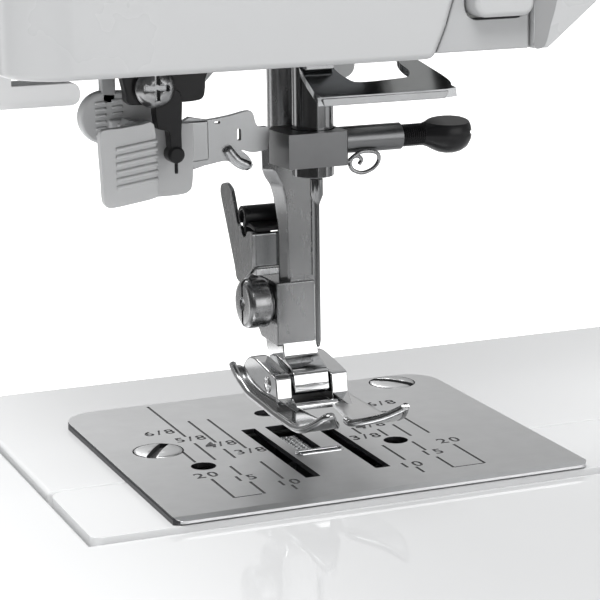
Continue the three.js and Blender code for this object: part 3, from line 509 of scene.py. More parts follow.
def make_presser_foot():
    left = [
        # (y, left edge, right edge), from the heel to the toe
        (20, -7.0, -5.4), (18.6, -7.1, -4.4), (16, -7.1, -3.4), (12, -7.3, -3.1), (8, -7.5, -3.1),
        (4, -7.7, -3.1), (0.4, -7.95, -2.6), (-3, -8.05, -2.5), (-6.4, -8.05, -2.2), (-8.6, -8.0, -1.4),
        (-10.4, -7.8, -1.2), (-12, -7.3, -1.9), (-13.6, -6.6, -2.9), (-14.9, -5.7, -3.7),
    ]
    right = [
        (20, 5.4, 7.0), (18.6, 4.4, 7.1), (16, 3.4, 7.1), (12, 3.1, 7.3), (8, 3.1, 7.4),
        (4, 3.1, 7.5), (0.4, 2.5, 7.6), (-3, 2.1, 7.7), (-6, 1.6, 7.8), (-8.3, 0.5, 8.0),
        (-10, 0.5, 8.2), (-11.6, 2.1, 8.4), (-13.2, 4.6, 8.5), (-14.8, 6.7, 8.3),
    ]
    # The left bead follows the whole outer edge and then the toe's inner edge; the right bead
    # follows its toe only. The rows from toe on are the toes.
    inset, toe, right_tip = 0.5, 9, 11
    left_rim = [(x0 + inset, y) for y, x0, x1 in left] + [(-4.5, -15.1)]
    left_rim += [(x1 - inset, y) for y, x0, x1 in reversed(left[toe:])]
    right_rim = [(x0 + inset, y) for y, x0, x1 in right[toe:]] + [(7.5, -15.1)]
    right_rim += [(x1 - inset, y) for y, x0, x1 in reversed(right[right_tip:-1])]
    # one chrome foot: the left ski is painted darker as shade, the right one lighter as a highlight
    parts = make_ski("left_ski", left, left_rim, "ski_painted_shade")
    parts += make_ski("right_ski", right, right_rim, "ski_painted_highlight")
    # the sole's middle under the hinge is near black: painted shade in the gap under the foot
    middle = prism("sole_middle", box(-3.3, 3.3, 2.6, 14), "z", 6.35, 7.0)
    parts.append(painted(middle, "blackened_steel"))
    bridge = tube("bridge", [(-3.6, 1.5, 6.95), (0, 1.45, 6.95), (3.6, 1.4, 6.95)], 0.62)
    parts.append(crisp(painted(bridge, "chrome")))
    cheek = [
        (2.1, 6.9), (2.75, 11.2), (3.2, 11.45), (5.7, 11.85), (9, 12.35), (11.9, 12.65), (13.4, 12.5),
        (15, 11.8), (16.2, 10.9), (16.9, 9.8), (17, 8.6), (16.4, 7.6), (12.5, 6.9),
    ]
    left_cheek, right_cheek = (-5.95, -3.35), (3.2, 5.95)
    for x0, x1 in (left_cheek, right_cheek):
        side = painted(prism("cheek", cheek, "x", x0, x1), "chrome")
        # the cheeks' faces turned to the side take the darker copy of the chrome: painted shade
        side.data.materials.append(MATERIALS["ski_painted_shade"])
        for face in side.data.polygons:
            face.material_index = 1 if abs(face.normal.x) > 0.7 else 0
        parts.append(rounded(side, 0.22, 3, 25))
    for (x0, x1), tip in ((left_cheek, -4.2), (right_cheek, 4.6)):
        web = [
            (x0, 2.6, 7.0), (x1, 2.6, 7.0), (x1, 2.6, 8.4), (x0, 2.6, 8.4),
            (tip, -1.4, 7.0), (tip + 0.5, -1.4, 7.0),
        ]
        faces = [(0, 1, 2, 3), (0, 3, 4), (1, 5, 2), (3, 2, 5, 4), (0, 4, 5, 1)]
        parts.append(rounded(painted(make_mesh("web", web, faces), "chrome"), 0.12, 2, 25))
    pin = [
        (0, 0), (0.55, 0), (0.7, 0.14), (0.85, 0.14), (1.0, 0), (1.3, 0.1), (1.4, 0.35), (1.4, 11.9), (0, 12),
    ]
    parts.append(crisp(painted(turned("pin", pin, (-6.15, 6.1, 9.7), (1, 0, 0), 32), "chrome"), 50))
    foot = join_pieces("presser_foot_fine", *parts)
    finished(foot, "presser_foot", "chrome", "presser_foot")


def make_ankle():
    sections = [
        # (height, front face's left end, left edge, its y, right edge, back), in millimetres
        (46.9, -3.4, -4.5, 10.3, 4.4, 15.6), (46.3, -3.6, -4.8, 10.2, 4.8, 15.8),
        (42.4, -3.4, -4.8, 10.0, 4.8, 15.8), (41.2, -2.8, -4.3, 10.2, 4.6, 15.4),
        (40.0, -2.1, -3.4, 10.4, 4.4, 15.0), (38.2, -1.7, -2.9, 10.3, 4.2, 14.6),
        (35.4, -1.3, -2.6, 10.0, 4.1, 14.2), (32, -1.25, -2.4, 9.8, 4.0, 14.0),
        (24, -1.2, -2.4, 9.7, 4.0, 14.0),
    ]
    rings = []
    for z, face, left, side, right, back in sections:
        rings.append([
            (face, 8.5, z), (left, side, z), (left + 1.2, side + 3.1, z), (0, back, z),
            (right - 1.0, side + 3.1, z), (right, side - 0.3, z), (2.95, 8.5, z),
        ])
    shank = rounded(painted(loft("shank", rings), "satin_chrome"), 0.3, 3, 12)
    face = [(-1.3, 37.2), (2.75, 37.5), (2.75, 25.7), (-1.0, 25.7)]
    seam = painted(prism("seam", face, "y", 8.3, 8.72), "satin_chrome")
    block_side = [
        (7.5, 25.1), (7.5, 15.4), (7.9, 15.0), (14.6, 15.2), (16.8, 17.2), (17.2, 20.5), (17.2, 25.1),
    ]
    block = slab("block", block_side, "x", -3.62, 2.72, "satin_chrome", 0.28, 3, 35)
    hook_side = [
        (7.75, 16), (7.5, 15.25), (7.05, 13.5), (6.5, 13.1), (5.4, 12.8), (4.3, 12.4), (3.6, 11.95),
        (3.25, 11.5), (2.75, 9.1), (2.85, 8.75), (3.3, 8.4), (4.6, 7.9), (6.2, 7.6), (9, 8.2), (11.5, 10),
        (14.5, 13.5), (15, 16),
    ]
    hook = slab("hook", hook_side, "x", -2.8, 3.0, "chrome", 0.2, 3, 30)
    ankle = join_pieces("ankle_fine", carved(shank, seam), block, hook)
    finished(ankle, "presser_bar", "chrome", "ankle")


def make_ankle_screw():
    y = 11.2
    centre = (-7.95, y, 21.5)
    head = [
        (0, 0), (2.9, 0), (3.2, 0.05), (3.45, 0.16), (3.65, 0.34), (3.78, 0.6), (3.84, 0.95), (3.85, 3.2),
        (3.8, 3.5), (3.66, 3.75), (3.45, 3.9), (3.0, 3.95), (3.0, 4.2), (0, 4.2),
    ]
    screw = painted(turned("head", head, centre, (1, 0, 0), 72), "satin_chrome")
    half = 0.34
    slot = prism("slot", box(y - half, y + half, 17, 26), "x", -8.6, -7.2)
    dimple = turned("dimple", [(0, -0.5), (1.1, -0.5), (1.1, 0.4), (0, 0.9)], centre, (1, 0, 0), 24)
    # the slot's walls take the near-black steel: painted shade in the slot
    carved(screw, painted(slot, "blackened_steel"), painted(dimple, "steel"))
    finished(join_pieces("ankle_screw_fine", crisp(screw)), "ankle_screw", "chrome", "ankle_screw")


def make_release_lever():
    cheek = [
        (22.4, 38.6), (23.6, 38.2), (24.1, 37.2), (23.6, 35.8), (21.8, 32.6), (19.6, 28.6), (18.2, 26),
        (17.4, 24.2), (15.4, 24.0), (12.6, 25.6), (10.9, 26.6), (10.3, 27.6), (10.2, 32.2), (10.5, 32.8),
        (12.3, 32.6), (12.9, 31.9), (13.8, 31.5), (14.7, 31.8), (15.3, 32.8), (16.6, 33.1), (17.6, 35),
        (19, 37.8), (20.2, 38.5), (21.4, 38.8),
    ]
    side = slab("lever_cheek", smooth_outline(cheek), "x", -6.5, -5.9, "satin_chrome", 0.16, 3, 40)
    plate = slab("lever_front", box(-6.1, -1.7, 27.2, 32.6), "y", 10.3, 11.1, "dark_steel", 0.35, 4)
    flange = slab("lever_flange", box(-6.1, -1.7, 26.0, 27.1), "y", 9.9, 11.6, "steel", 0.2)
    wall = slab("lever_back", box(-6.0, -3.8, 24.4, 31), "y", 14.8, 15.6, "steel", 0.2)
    centre_y, centre_z, radius, bore = 15.1, 34.5, 1.65, 0.58  # the bore is a share of the radius
    curl = []
    for k in range(23):
        a = math.radians(255 - k * 14)
        curl.append((centre_y + radius * math.cos(a), centre_z + radius * math.sin(a)))
    inner = [(centre_y + (y - centre_y) * bore, centre_z + (z - centre_z) * bore) for y, z in reversed(curl)]
    roll = slab("lever_roll", curl + inner, "x", -6.35, -0.6, "black_plastic", 0.18, 3, 50)
    tongue = [(10.5, 32.75), (12.6, 33.05), (14.8, 33.0), (14.9, 33.75), (12.6, 33.8), (10.5, 33.35)]
    tab = slab("lever_tab", tongue, "x", -5.9, -0.8, "black_plastic", 0.15, 3, 30)
    stem = slab("tab_stem", box(15.3, 16.6, 30.6, 33.4), "x", -5.5, -1.4, "black_plastic", 0.2)
    lever = join_pieces("release_lever_fine", side, plate, flange, wall, roll, tab, stem)
    finished(lever, "release_lever", "steel", "release_lever")


# ---------------------------------------------------------------- needle clamp

def make_clamp_screw():
    centre = (13.6, 0.4, 47.7)
    pitch, root, crest = 0.34, 1.45, 1.7
    thread = [(0, 0)]
    for k in range(12):
        foot = k * pitch
        thread += [(root, foot), (crest, foot + 0.15), (crest, foot + 0.2), (root, foot + pitch)]
    thread += [(0, 4.2)]
    stem = crisp(painted(turned("thread", thread, centre, (1, 0, 0), 40), "black_plastic"), 60)
    body = [
        (0, 3.8), (1.5, 3.8), (1.75, 4.1), (2.0, 4.8), (2.45, 5.6), (2.9, 6.6), (3.15, 7.7), (3.2, 8.8),
        (3.05, 9.8), (2.6, 10.8), (1.9, 11.4), (1.0, 11.75), (0, 11.85),
    ]
    knob = painted(turned("knob", body, centre, (1, 0, 0), 64), "black_plastic")
    middle = centre[2]
    top = middle + 1.9
    facet = [(-5, top - 0.9), (5, top + 0.7), (5, top + 3), (-5, top + 3)]
    slot = box(-5, 5, middle - 0.3, middle + 0.35)
    carved(
        knob,
        painted(prism("facet", facet, "x", 18, 27), "black_plastic"),
        painted(prism("slot", slot, "x", 24.4, 27), "black_plastic"),
    )
    screw = join_pieces("clamp_screw_fine", stem, crisp(knob, 28))
    finished(screw, "clamp_screw", "black_plastic", "clamp_screw")


def make_needle_thread_guide():
    path = [
        (4.6, -1.2, 44.6), (5.5, -1.3, 45.4), (6.7, -1.4, 46.0), (8.3, -1.4, 46.0), (9.5, -1.2, 45.5),
        (9.7, -1, 44.4), (8.9, -0.8, 43.3), (7.3, -0.6, 42.7), (5.9, -0.5, 43.1), (5.3, -0.4, 44.0),
        (5.7, -0.3, 45.0), (6.7, -0.2, 45.2), (7.3, -0.1, 44.6), (6.9, 0, 43.9),
    ]
    loop = smooth(painted(tube("needle_thread_guide_fine", path, 0.3), "satin_chrome"))
    finished(loop, "needle_bar", "chrome", "needle_thread_guide")


# ---------------------------------------------------------------- needle threader and thread guide

def make_thread_guide_plate():
    plan = [
        (-3.1, -7.8), (-2.5, -8.4), (-1.6, -8.5), (17.2, -8.5), (18.4, -7.8), (18.4, -6.6), (16.4, -4.0),
        (14.6, -1.9), (13.2, -1.3), (12.2, -1.9), (12.3, -3.3), (13.0, -4.6), (12.6, -5.6), (11.4, -5.9),
        (4.6, -6.2), (2.8, -5.4), (1.6, -3.6), (1.4, -1.6), (-3.3, -1.6), (-3.4, -6.6),
    ]
    front, front_height, lean = -8.5, 55.6, 0.66  # the sheet climbs by lean towards the back
    top = [(x, y, front_height + (y - front) * lean) for x, y in smooth_outline(plan)]
    n = len(top)
    points = top + [(x, y - 0.35, z - 1.25) for x, y, z in top]
    sides = [(i, (i + 1) % n, n + (i + 1) % n, n + i) for i in range(n)]
    plate = make_mesh("guide_sheet", points, [tuple(range(n)), tuple(range(n, 2 * n)), *sides])
    rounded(painted(plate, "dark_steel"), 0.3, 4, 40)
    upright = slab("strap", box(-3.3, 1.3, 59.0, 65.6), "y", -4.3, -3.2, "dark_steel", 0.2)
    # a lighter strip on the sheet's front edge: painted highlight where the edge mirrors the bright bed
    edge = [(-2.3, 54.3), (16.9, 54.3), (17.5, 55.4), (-2.6, 55.4)]
    rim = slab("guide_rim_highlight", edge, "y", -9.0, -8.7, "zinc", 0.12)
    whole = join_pieces("thread_guide_fine", plate, upright, rim)
    finished(whole, "machine_body", "steel", "thread_guide_plate")


def ridge(name, x0, x1, y, z, tilt, radius, material):
    """One moulded finger ridge, its ends rounded, tilted with the grip."""
    path = [(x0, y, z), (x0 + (x1 - x0) * 0.5, y, z + tilt * 0.5), (x1, y, z + tilt)]
    return smooth(painted(tube(name, path, radius, 10, 3), material))


def make_threader_slider():
    grip = "grey_plastic"
    pad_outline = smooth_outline([
        (-35.0, 52.2), (-35.1, 50), (-34.9, 46), (-34.8, 43), (-34.5, 41.9), (-33.5, 41.55), (-30, 42.0),
        (-27.2, 42.5), (-26.8, 43.2), (-26.9, 48), (-27.1, 53.0), (-29, 53.1), (-32, 52.8), (-34.2, 52.7),
    ])
    parts = [slab("pad", pad_outline, "y", -6, -4.6, grip, 0.35, 4, 40)]
    body_outline = smooth_outline([
        (-30, 42), (-26, 41.6), (-21.8, 41.6), (-20.2, 42), (-19.6, 43.2), (-19.4, 47), (-19.4, 51.6),
        (-20.2, 52), (-26, 52.2), (-30, 52.2),
    ])
    parts.append(slab("body", body_outline, "y", -0.4, 2.8, grip, 0.35, 4, 40))
    web = [(-30.4, 42.4), (-26.95, 42.6), (-27.1, 52.6), (-30.4, 52.2)]
    parts.append(slab("web", web, "y", -5, 0.4, grip, 0.3, 3))
    for k in range(6):
        parts.append(ridge("ridge", -32.8, -26.75, -6.05, 44.4 + k * 1.08, 0.85, 0.3, grip))
    ends = ring_outline(-31.3, 53.0, 3.85, 36)
    disc = [(x if x < -30.6 else x + 3.4, z) for x, z in ends]
    parts.append(slab("back_grip", disc, "y", 3.2, 5.4, grip, 0.5, 4, 40))
    for k in range(6):
        z = 50.6 + k * 0.92
        parts.append(ridge("ridge", -32.9, -31.3, 3.15, z, 0.1, 0.22, grip))
        parts.append(ridge("ridge", -30.4, -28.8, 3.15, z + 0.2, 0.1, 0.22, grip))
    parts.append(slab("link", box(-31, -27.6, 49.5, 52.8), "y", 2, 4, grip, 0.3))
    parts.append(slab("rail", box(-31.8, -29.7, 55, 78), "y", 3.2, 5, "panel", 0.25))
    finished(join_pieces("threader_slider_fine", *parts), "threader", "grey_plastic", "threader_slider")


def make_threader_hook():
    arm = [
        (-20.2, 45.2), (-17.0, 45.3), (-14.4, 45.7), (-13.2, 45.6), (-12.4, 44.9), (-11.2, 44.2),
        (-10.0, 44.2), (-9.5, 44.9), (-10.2, 46.2), (-11.3, 47.2), (-9.6, 46.7), (-7.6, 46.9),
        (-7.0, 47.4), (-6.9, 50.2), (-8.4, 50.4), (-9.0, 51.2), (-9.4, 52.6), (-10.4, 52.9), (-13, 52.4),
        (-16.5, 52.0), (-20.2, 52.1),
    ]
    plate = prism("arm", smooth_outline(arm), "y", 1.4, 2.4)
    rounded(painted(plate, "zinc"), 0.22, 3, 45)
    # the slots' walls take black: painted shade inside them
    holes = [
        painted(prism("slot", round_rect(-11.9, -11.3, 48.6, 50.4, 0.25), "y", 0, 4), "black_plastic"),
        painted(prism("slot", round_rect(-15.4, -14.5, 51.3, 51.7, 0.15), "y", 0, 4), "black_plastic"),
    ]
    carved(plate, *holes)
    fold = slab("fold", [(-19.4, 46), (-16.6, 46.2), (-16.6, 52), (-19.4, 52)], "y", 0.6, 1.8, "zinc", 0.3, 3)
    bend = [(-13.6, 1.3, 47.6), (-12.2, 0.9, 45.8), (-10.4, 0.9, 44.8)]
    finger = smooth(painted(tube("finger", bend, 0.75, 12, 5), "zinc"))
    hook = join_pieces("threader_hook_fine", plate, fold, finger)
    finished(hook, "threader", "grey_plastic", "threader_hook")


def make_threader_bracket():
    black = "black_plastic"
    back = smooth_outline([
        (-30.2, 66), (-30.2, 57.2), (-29.8, 55.7), (-28.4, 55.4), (-23, 55.4), (-19.6, 55.5), (-18.5, 56.0),
        (-18.2, 57.4), (-17.9, 59.2), (-15.4, 62.4), (-14.8, 66),
    ])
    parts = [slab("bracket", back, "y", -3, -0.9, black, 0.3, 3, 45)]
    stem = smooth_outline([
        (-25.8, 57), (-25.8, 52.4), (-25.4, 51.8), (-24.2, 51.5), (-23.95, 50.8), (-23.75, 48.3),
        (-23.4, 47.4), (-22.5, 47.3), (-22.15, 48.3), (-22.15, 51), (-22.2, 57),
    ])
    parts.append(slab("stem", stem, "y", -3.4, -1.2, black, 0.35, 4, 45))
    boss = [(0, 0), (0.9, 0), (1.2, 0.2), (1.25, 0.5), (1.25, 2.4), (0, 2.4)]
    parts.append(painted(turned("boss", boss, (-23.0, -3.7, 48.0), (0, 1, 0), 32), black))
    pin = [(0, 0), (0.22, 0.05), (0.26, 0.3), (0.26, 2.6), (0, 2.6)]
    parts.append(painted(turned("pin", pin, (-22.95, -3, 45.2), (0, 0, 1), 16), black))
    wedge = [(-18.4, 57.2), (-16.0, 59.6), (-15.2, 62), (-15.2, 66), (-18.4, 66)]
    parts.append(slab("wedge", wedge, "y", -1.6, 0.4, "panel", 0.3))
    bracket = join_pieces("threader_bracket_fine", *parts)
    finished(bracket, "machine_body", "black_plastic", "threader_bracket")


def cross(x, z, reach, half, y0, y1, material):
    """The two bars of a cross-head recess."""
    bars = []
    for wide, tall in ((reach, half), (half, reach)):
        bar = prism("cross", box(x - wide, x + wide, z - tall, z + tall), "y", y0, y1)
        bars.append(painted(bar, material))
    return bars


def make_cross_head_screw():
    head = [(0, -1.9), (1.2, -1.88), (2.1, -1.6), (2.7, -1.15), (2.95, -0.7), (3.0, -0.1), (3.0, 0), (0, 0)]
    centre = (-26.1, -3.2, 57.9)
    screw = smooth(painted(turned("head", head, centre, (0, 1, 0), 48), "satin_chrome"))
    # the cross recess's walls take the dark steel: painted shade
    carved(screw, *cross(centre[0], centre[2], 1.75, 0.36, -6, -4.2, "dark_steel"))
    finished(join_pieces("threader_screw_fine", screw), "machine_body", "chrome", "threader_screw")


# ---------------------------------------------------------------- needle plate

GUIDE_LINES = [
    # (x, from y, to y), in millimetres from the needle
    (-16.2, 34.6, 15.7), (-12.9, 23.8, 10.8), (-9.7, 23.5, 6.0), (-19.3, 8.3, 2.3), (-16.1, 11.8, 2.3),
    (-13.0, 7.1, 2.0), (-15.2, -1.6, -6.4), (-15.2, -9.9, -16.0), (-10.2, -1.3, -10.6), (-10.2, -13.8, -16.1),
    (-19.9, -6.4, -16.0), (19.5, 11.8, 1.8), (16.2, 8.4, 1.5), (12.9, 7.0, 3.0), (9.5, 9.3, 5.7),
    (15.0, -1.4, -6.4), (15.0, -10.1, -16.0), (10.0, -1.3, -9.6), (10.0, -13.4, -16.3), (20.2, -5.4, -16.0),
    (16.2, 34.6, 17.0), (12.9, 24.0, 12.5),
]
GUIDE_NUMBERS = [
    ("6/8", -19.3, 19.4), ("5/8", -15.9, 14.2), ("4/8", -12.5, 9.7), ("3/8", -9.6, 4.4),
    ("20", -20.0, -4.4), ("15", -15.2, -8.0), ("10", -10.2, -12.6),
    ("20", 20.4, -3.2), ("15", 15.4, -7.8), ("10", 9.8, -12.2),
    ("3/8", 9.5, 4.0), ("4/8", 12.7, 9.4), ("5/8", 16.2, 14.8), ("6/8", 19.6, 20.4),
]
PLATE = {"left": -30.8, "right": 34.8, "front": -21.9, "back": 35.8, "thick": 0.8}
PLATE_SCREWS = [("plate_screw_left", -22.5, 10.4, 0.95), ("plate_screw_right", 26.7, 31.6, -0.85)]
PLATE_HOLES = [(-18.8, 0.1), (13.05, 0.4), (0.2, 23)]


def make_number(text, x, y, size, depth):
    """A solid number lying flat, its top a little above z 0; drawn large and then scaled to metres."""
    curve = bpy.data.curves.new("number", "FONT")
    curve.body, curve.size = text, size
    curve.space_character, curve.offset = 1.25, 0.045
    curve.align_x = curve.align_y = "CENTER"
    curve.extrude, curve.resolution_u = depth, 3
    letter = linked("number", curve)
    bpy.context.view_layer.update()
    mesh = baked(letter)
    mesh.transform(Matrix.Translation(at(x, y, 0)) @ Matrix.Scale(MM, 4))
    bpy.data.objects.remove(letter)
    return painted(linked("number", mesh), "marks_and_painted_shade")


def groove(x, y0, y1):
    """A tool for cutting a guide line into the plate's top."""
    width, depth = 0.42, 0.14
    return painted(prism("groove", box(x - width / 2, x + width / 2, y0, y1), "z", -depth, 0.3), "marks_and_painted_shade")


def make_needle_plate():
    p = PLATE
    outline = []
    corners = ((p["right"], p["front"], 1.5, -90), (p["right"], p["back"], 5.5, 0),
               (p["left"], p["back"], 5.5, 90), (p["left"], p["front"], 1.5, 180))
    for x, y, radius, start in corners:
        inward_x = radius if x == p["left"] else -radius
        inward_y = radius if y == p["front"] else -radius
        for step in range(7):
            a = math.radians(start + 15 * step)
            outline.append((x + inward_x + radius * math.cos(a), y + inward_y + radius * math.sin(a)))
    plate = painted(prism("needle_plate_fine", outline, "z", -p["thick"], 0), "plate_steel")
    deep = -p["thick"] - 1
    tools = [
        prism("hole", round_rect(-7, -4.65, -11.6, 15.5, 0.2), "z", deep, 1),
        prism("hole", round_rect(4.3, 6.7, -11.6, 15.5, 0.2), "z", deep, 1),
        prism("hole", round_rect(-2.9, 1.0, 1.6, 15.6, 0.2), "z", deep, 1),
        prism("hole", round_rect(-3.5, 3.6, -0.5, 0.6, 0.5), "z", deep, 1),
    ]
    tools += [prism("hole", ring_outline(x, y, 1.9, 36), "z", deep, 1) for x, y in PLATE_HOLES]
    tools += [prism("hole", ring_outline(x, y, 3.95, 48), "z", deep, 1) for _, x, y, _ in PLATE_SCREWS]
    # the holes' walls take the near-black metal: painted shade inside them
    carved(plate, *[painted(tool, "plate_painted_shade") for tool in tools])
    lip = prism("lip", [(-22.5, 0.3), (-20.7, 0.3), (-20.7, 0.0), (-21.6, -0.3), (-22.5, -0.6)], "x", -34, 38)
    carved(plate, painted(lip, "plate_steel"))
    rounded(plate, 0.16, 3, 40)
    plate.data = baked(plate)
    plate.modifiers.clear()
    marks = [groove(x, y0, y1) for x, y0, y1 in GUIDE_LINES]
    for x0, x1 in ((-19.9, -15.6), (15.2, 20.2)):
        line = box(x0 - 0.1, x1, -16.1, -15.8)
        marks.append(painted(prism("groove", line, "z", -0.12, 0.3), "marks_and_painted_shade"))
    marks += [make_number(text, x, y, 3.3, 0.14) for text, x, y in GUIDE_NUMBERS]
    carved(plate, *marks)
    # the plate's faces turned to the left take the near-black metal: painted shade on the side away from the
    # light
    side = plate.data.materials.find(MATERIALS["plate_painted_shade"].name)
    for face in plate.data.polygons:
        face.use_smooth = False
        if face.normal.x < -0.6:
            face.material_index = side
    # a near-black strip under the plate's left edge: a painted shadow gap between plate and bed
    outer, inner = p["left"] - 0.1, p["left"] + 1
    strip = [
        (outer, p["front"] + 1), (inner, p["front"] + 0.4), (inner, p["back"] - 4), (outer, p["back"] - 5),
    ]
    left_shadow = painted(prism("plate_left_shadow", strip, "z", -1.05, -0.35), "plate_painted_shade")
    whole = join_pieces("needle_plate_body", plate, left_shadow)
    finished(whole, "machine_body", "plate_steel", "needle_plate")
    rim = [(x, y, 0.0) for x, y in round_rect(-3.75, 3.85, -0.75, 0.85, 0.74, 6)]
    bead = smooth(painted(tube("needle_hole_lip", rim, 0.26, 10, 2, closed=True), "chrome"))
    finished(bead, "machine_body", "plate_steel")


def make_plate_screws():
    profile = [
        (0, -0.75), (2.4, -0.75), (3.5, -0.35), (3.72, -0.15), (3.75, 0.0), (3.3, 0.14), (2.2, 0.26),
        (1, 0.33), (0, 0.35),
    ]
    for node, x, y, turn in PLATE_SCREWS:
        head = smooth(painted(turned("head", profile, (x, y, 0), (0, 0, 1), 64), "plate_steel"))
        c, s = math.cos(turn), math.sin(turn)
        line = [(x + u * c - v * s, y + u * s + v * c) for u, v in box(-4, 4, -0.75, 0.75)]
        # the slot takes the near-black material: painted shade inside it
        carved(head, painted(prism("slot", line, "z", -0.5, 1), "marks_and_painted_shade"))
        finished(join_pieces(node + "_fine", head), "machine_body", "steel", node)


def make_feed_teeth():
    """Pyramid teeth along the feed dog's rows, standing on the CAD bar."""
    points, faces = [], []
    # (x0, x1, y0, y1, height of the tips)
    rows = [(-2.5, 0.6, 3.2, 11.4, -0.35), (-6.5, -5.1, -7.6, 12.2, -1.2), (4.7, 6.2, -7.6, 12.2, -1.2)]
    pitch_x, pitch_y, tall = 0.85, 1.0, 0.6
    for x0, x1, y0, y1, top in rows:
        across = int((x1 - x0) / pitch_x)
        for i in range(across):
            for k in range(int((y1 - y0) / pitch_y)):
                x, y = x0 + i * pitch_x, y0 + k * pitch_y
                first = len(points)
                points += [
                    (x, y, top - tall), (x + pitch_x, y, top - tall), (x + pitch_x, y + pitch_y, top - tall),
                    (x, y + pitch_y, top - tall), (x + pitch_x / 2, y + pitch_y * 0.25, top),
                ]
                faces += [tuple(first + c for c in corner) for corner in
                          ((0, 3, 2, 1), (0, 1, 4), (1, 2, 4), (2, 3, 4), (3, 0, 4))]
    mesh = bpy.data.meshes.new("feed_teeth")
    mesh.from_pydata([at(*p) for p in points], [], faces)
    finished(painted(linked("feed_teeth", mesh), "zinc"), "feed_dog", "steel")


# ---------------------------------------------------------------- the rest of the machine

FACE = -26.0  # the front casing's face, in the same measure from the needle
REAR = 52.0  # the rear casing's face
DIALS = [
    # (node, x, z, radius, marks round it)
    ("pattern_dial", 262, 132, 25, 18), ("stitch_length_dial", 218, 172, 14, 5),
    ("thread_tension_dial", 96, 160, 15, 10),
]
HANDWHEEL = {"x0": 314, "y": 1.2, "z": 165, "radius": 41, "ribs": 40}


def make_label(text, x, y, z, size):
    """A thin raised label standing upright on a face that looks towards the front."""
    piece = make_number(text, 0, 0, size, 0.05)
    flat = Matrix.Translation(-at(0, 0, 0))
    upright = Matrix.Rotation(math.radians(90), 4, "X")
    piece.data.transform(Matrix.Translation(at(x, y, z)) @ upright @ flat)
    return piece


def bar_mark(x, z, length, width, angle, y0, y1):
    """A straight printed mark on an upright face, turned by angle about the Y axis."""
    c, s = math.cos(angle), math.sin(angle)
    line = [(x + u * c + v * s, z - u * s + v * c) for u, v in box(-width / 2, width / 2, 0, length)]
    return painted(prism("mark", line, "y", y0, y1), "marks_and_painted_shade")


def make_dial(node, x, z, radius, count):
    """A serrated disc with a finger grip across it and a dark pointer line."""
    teeth = 4 * int(radius * 2.4)
    edge = []
    for k in range(teeth):
        a, r = 2 * math.pi * k / teeth, radius - (0.45 if k % 4 < 2 else 0.0)
        edge.append((x + r * math.cos(a), z + r * math.sin(a)))
    parts = [slab("dial_disc", edge, "y", FACE - 5.2, FACE - 0.35, "panel", 0.15, 2, 50)]
    hub = ring_outline(x, z, radius * 0.52, 48)
    parts.append(slab("dial_hub", hub, "y", FACE - 6.4, FACE - 5, "light_grey", 0.4, 3))
    wide, tall = radius * 0.2, radius * 0.74
    grip = round_rect(x - wide, x + wide, z - tall, z + tall, radius * 0.16)
    parts.append(slab("dial_grip", grip, "y", FACE - 11.4, FACE - 5, "panel", 0.9, 4))
    parts.append(bar_mark(x, z + tall * 0.35, tall * 0.5, 0.9, 0, FACE - 11.5, FACE - 11.3))
    finished(join_pieces(node + "_fine", *parts), node, "panel", node)
    printed = []
    for k in range(count):
        a = math.radians(-140 + 280 * k / (count - 1))
        foot, reach = radius + 1.2, radius + 5.4
        mark_x, mark_z = x + foot * math.sin(a), z + foot * math.cos(a)
        printed.append(bar_mark(mark_x, mark_z, 1.8, 0.4, a, FACE - 0.06, FACE + 0.1))
        printed.append(make_label(str(k), x + reach * math.sin(a), FACE, z + reach * math.cos(a), 3.4))
    finished(join_pieces(node + "_scale", *printed), "machine_body", "panel")


def make_control_panel():
    """The darker panel beside the face cover, the wide key in it, and the fold's painted shade at its right.
    """
    skin = [(7.6, 63), (9.1, 66.5), (10.5, 71), (11.3, 77), (11.6, 112), (22, 112), (22, 63)]
    panel = painted(prism("panel_skin", skin, "y", -25.1, -22.6), "panel")
    # the hole's walls round the key take the near-black material: a painted shadow gap
    carved(panel, painted(prism("hole", round_rect(12.0, 21.7, 67.4, 92.4, 1.8), "y", -30, -20), "marks_and_painted_shade"))
    rounded(panel, 0.25, 3, 40)
    finished(join_pieces("control_panel_fine", panel), "machine_body", "panel", "control_panel")
    key = round_rect(12.3, 21.4, 67.8, 92, 1.7)
    button = slab("reverse_button_fine", key, "y", -28.0, -21.5, "shell", 0.8, 5, 40)
    finished(join_pieces("reverse_button_fine", button), "reverse_button", "shell", "reverse_button")
    # a flat dark-grey strip on the casing: painted shade of the fold right of the panel
    fold = smooth_outline([
        (22.4, 63.2), (24.0, 63.3), (24.9, 66.2), (25.8, 69.4), (26.2, 74), (26.2, 108), (24.5, 112),
        (22.4, 112), (22.4, 80), (22.4, 66),
    ])
    shade = painted(prism("panel_fold", fold, "y", FACE - 0.04, FACE + 0.4), "fold_painted_shade")
    finished(join_pieces("panel_fold_shade", shade), "machine_body", "panel")


def make_stitch_chart():
    """A row of generic stitch signs printed under the dials."""
    signs = {
        "straight": [(0, 0), (0, 6)],
        "zigzag": [(0, 0), (2, 1), (0, 2), (2, 3), (0, 4), (2, 5), (0, 6)],
        "step": [(0, 0), (0, 2), (2, 2), (2, 4), (0, 4), (0, 6)],
        "blind": [(0, 0), (0, 2), (2, 3), (0, 4), (0, 6)],
        "box": [(0, 0), (0, 6), (2.2, 6), (2.2, 0), (0, 0)],
        "wave": [(0, 0), (1, 1.5), (0, 3), (1, 4.5), (0, 6)],
    }
    left, foot, pitch = 226, 88, 9.5
    printed = []
    for k, path in enumerate(signs.values()):
        points = [(left + k * pitch + u, FACE - 0.02, foot + v) for u, v in path]
        for first, last in zip(points, points[1:]):
            printed.append(painted(tube("sign", [first, last], 0.22, 6, 1), "marks_and_painted_shade"))
        printed.append(make_label(str(k + 1), left + 1 + k * pitch, FACE, 83.5, 3))
    finished(join_pieces("stitch_chart", *printed), "machine_body", "panel")


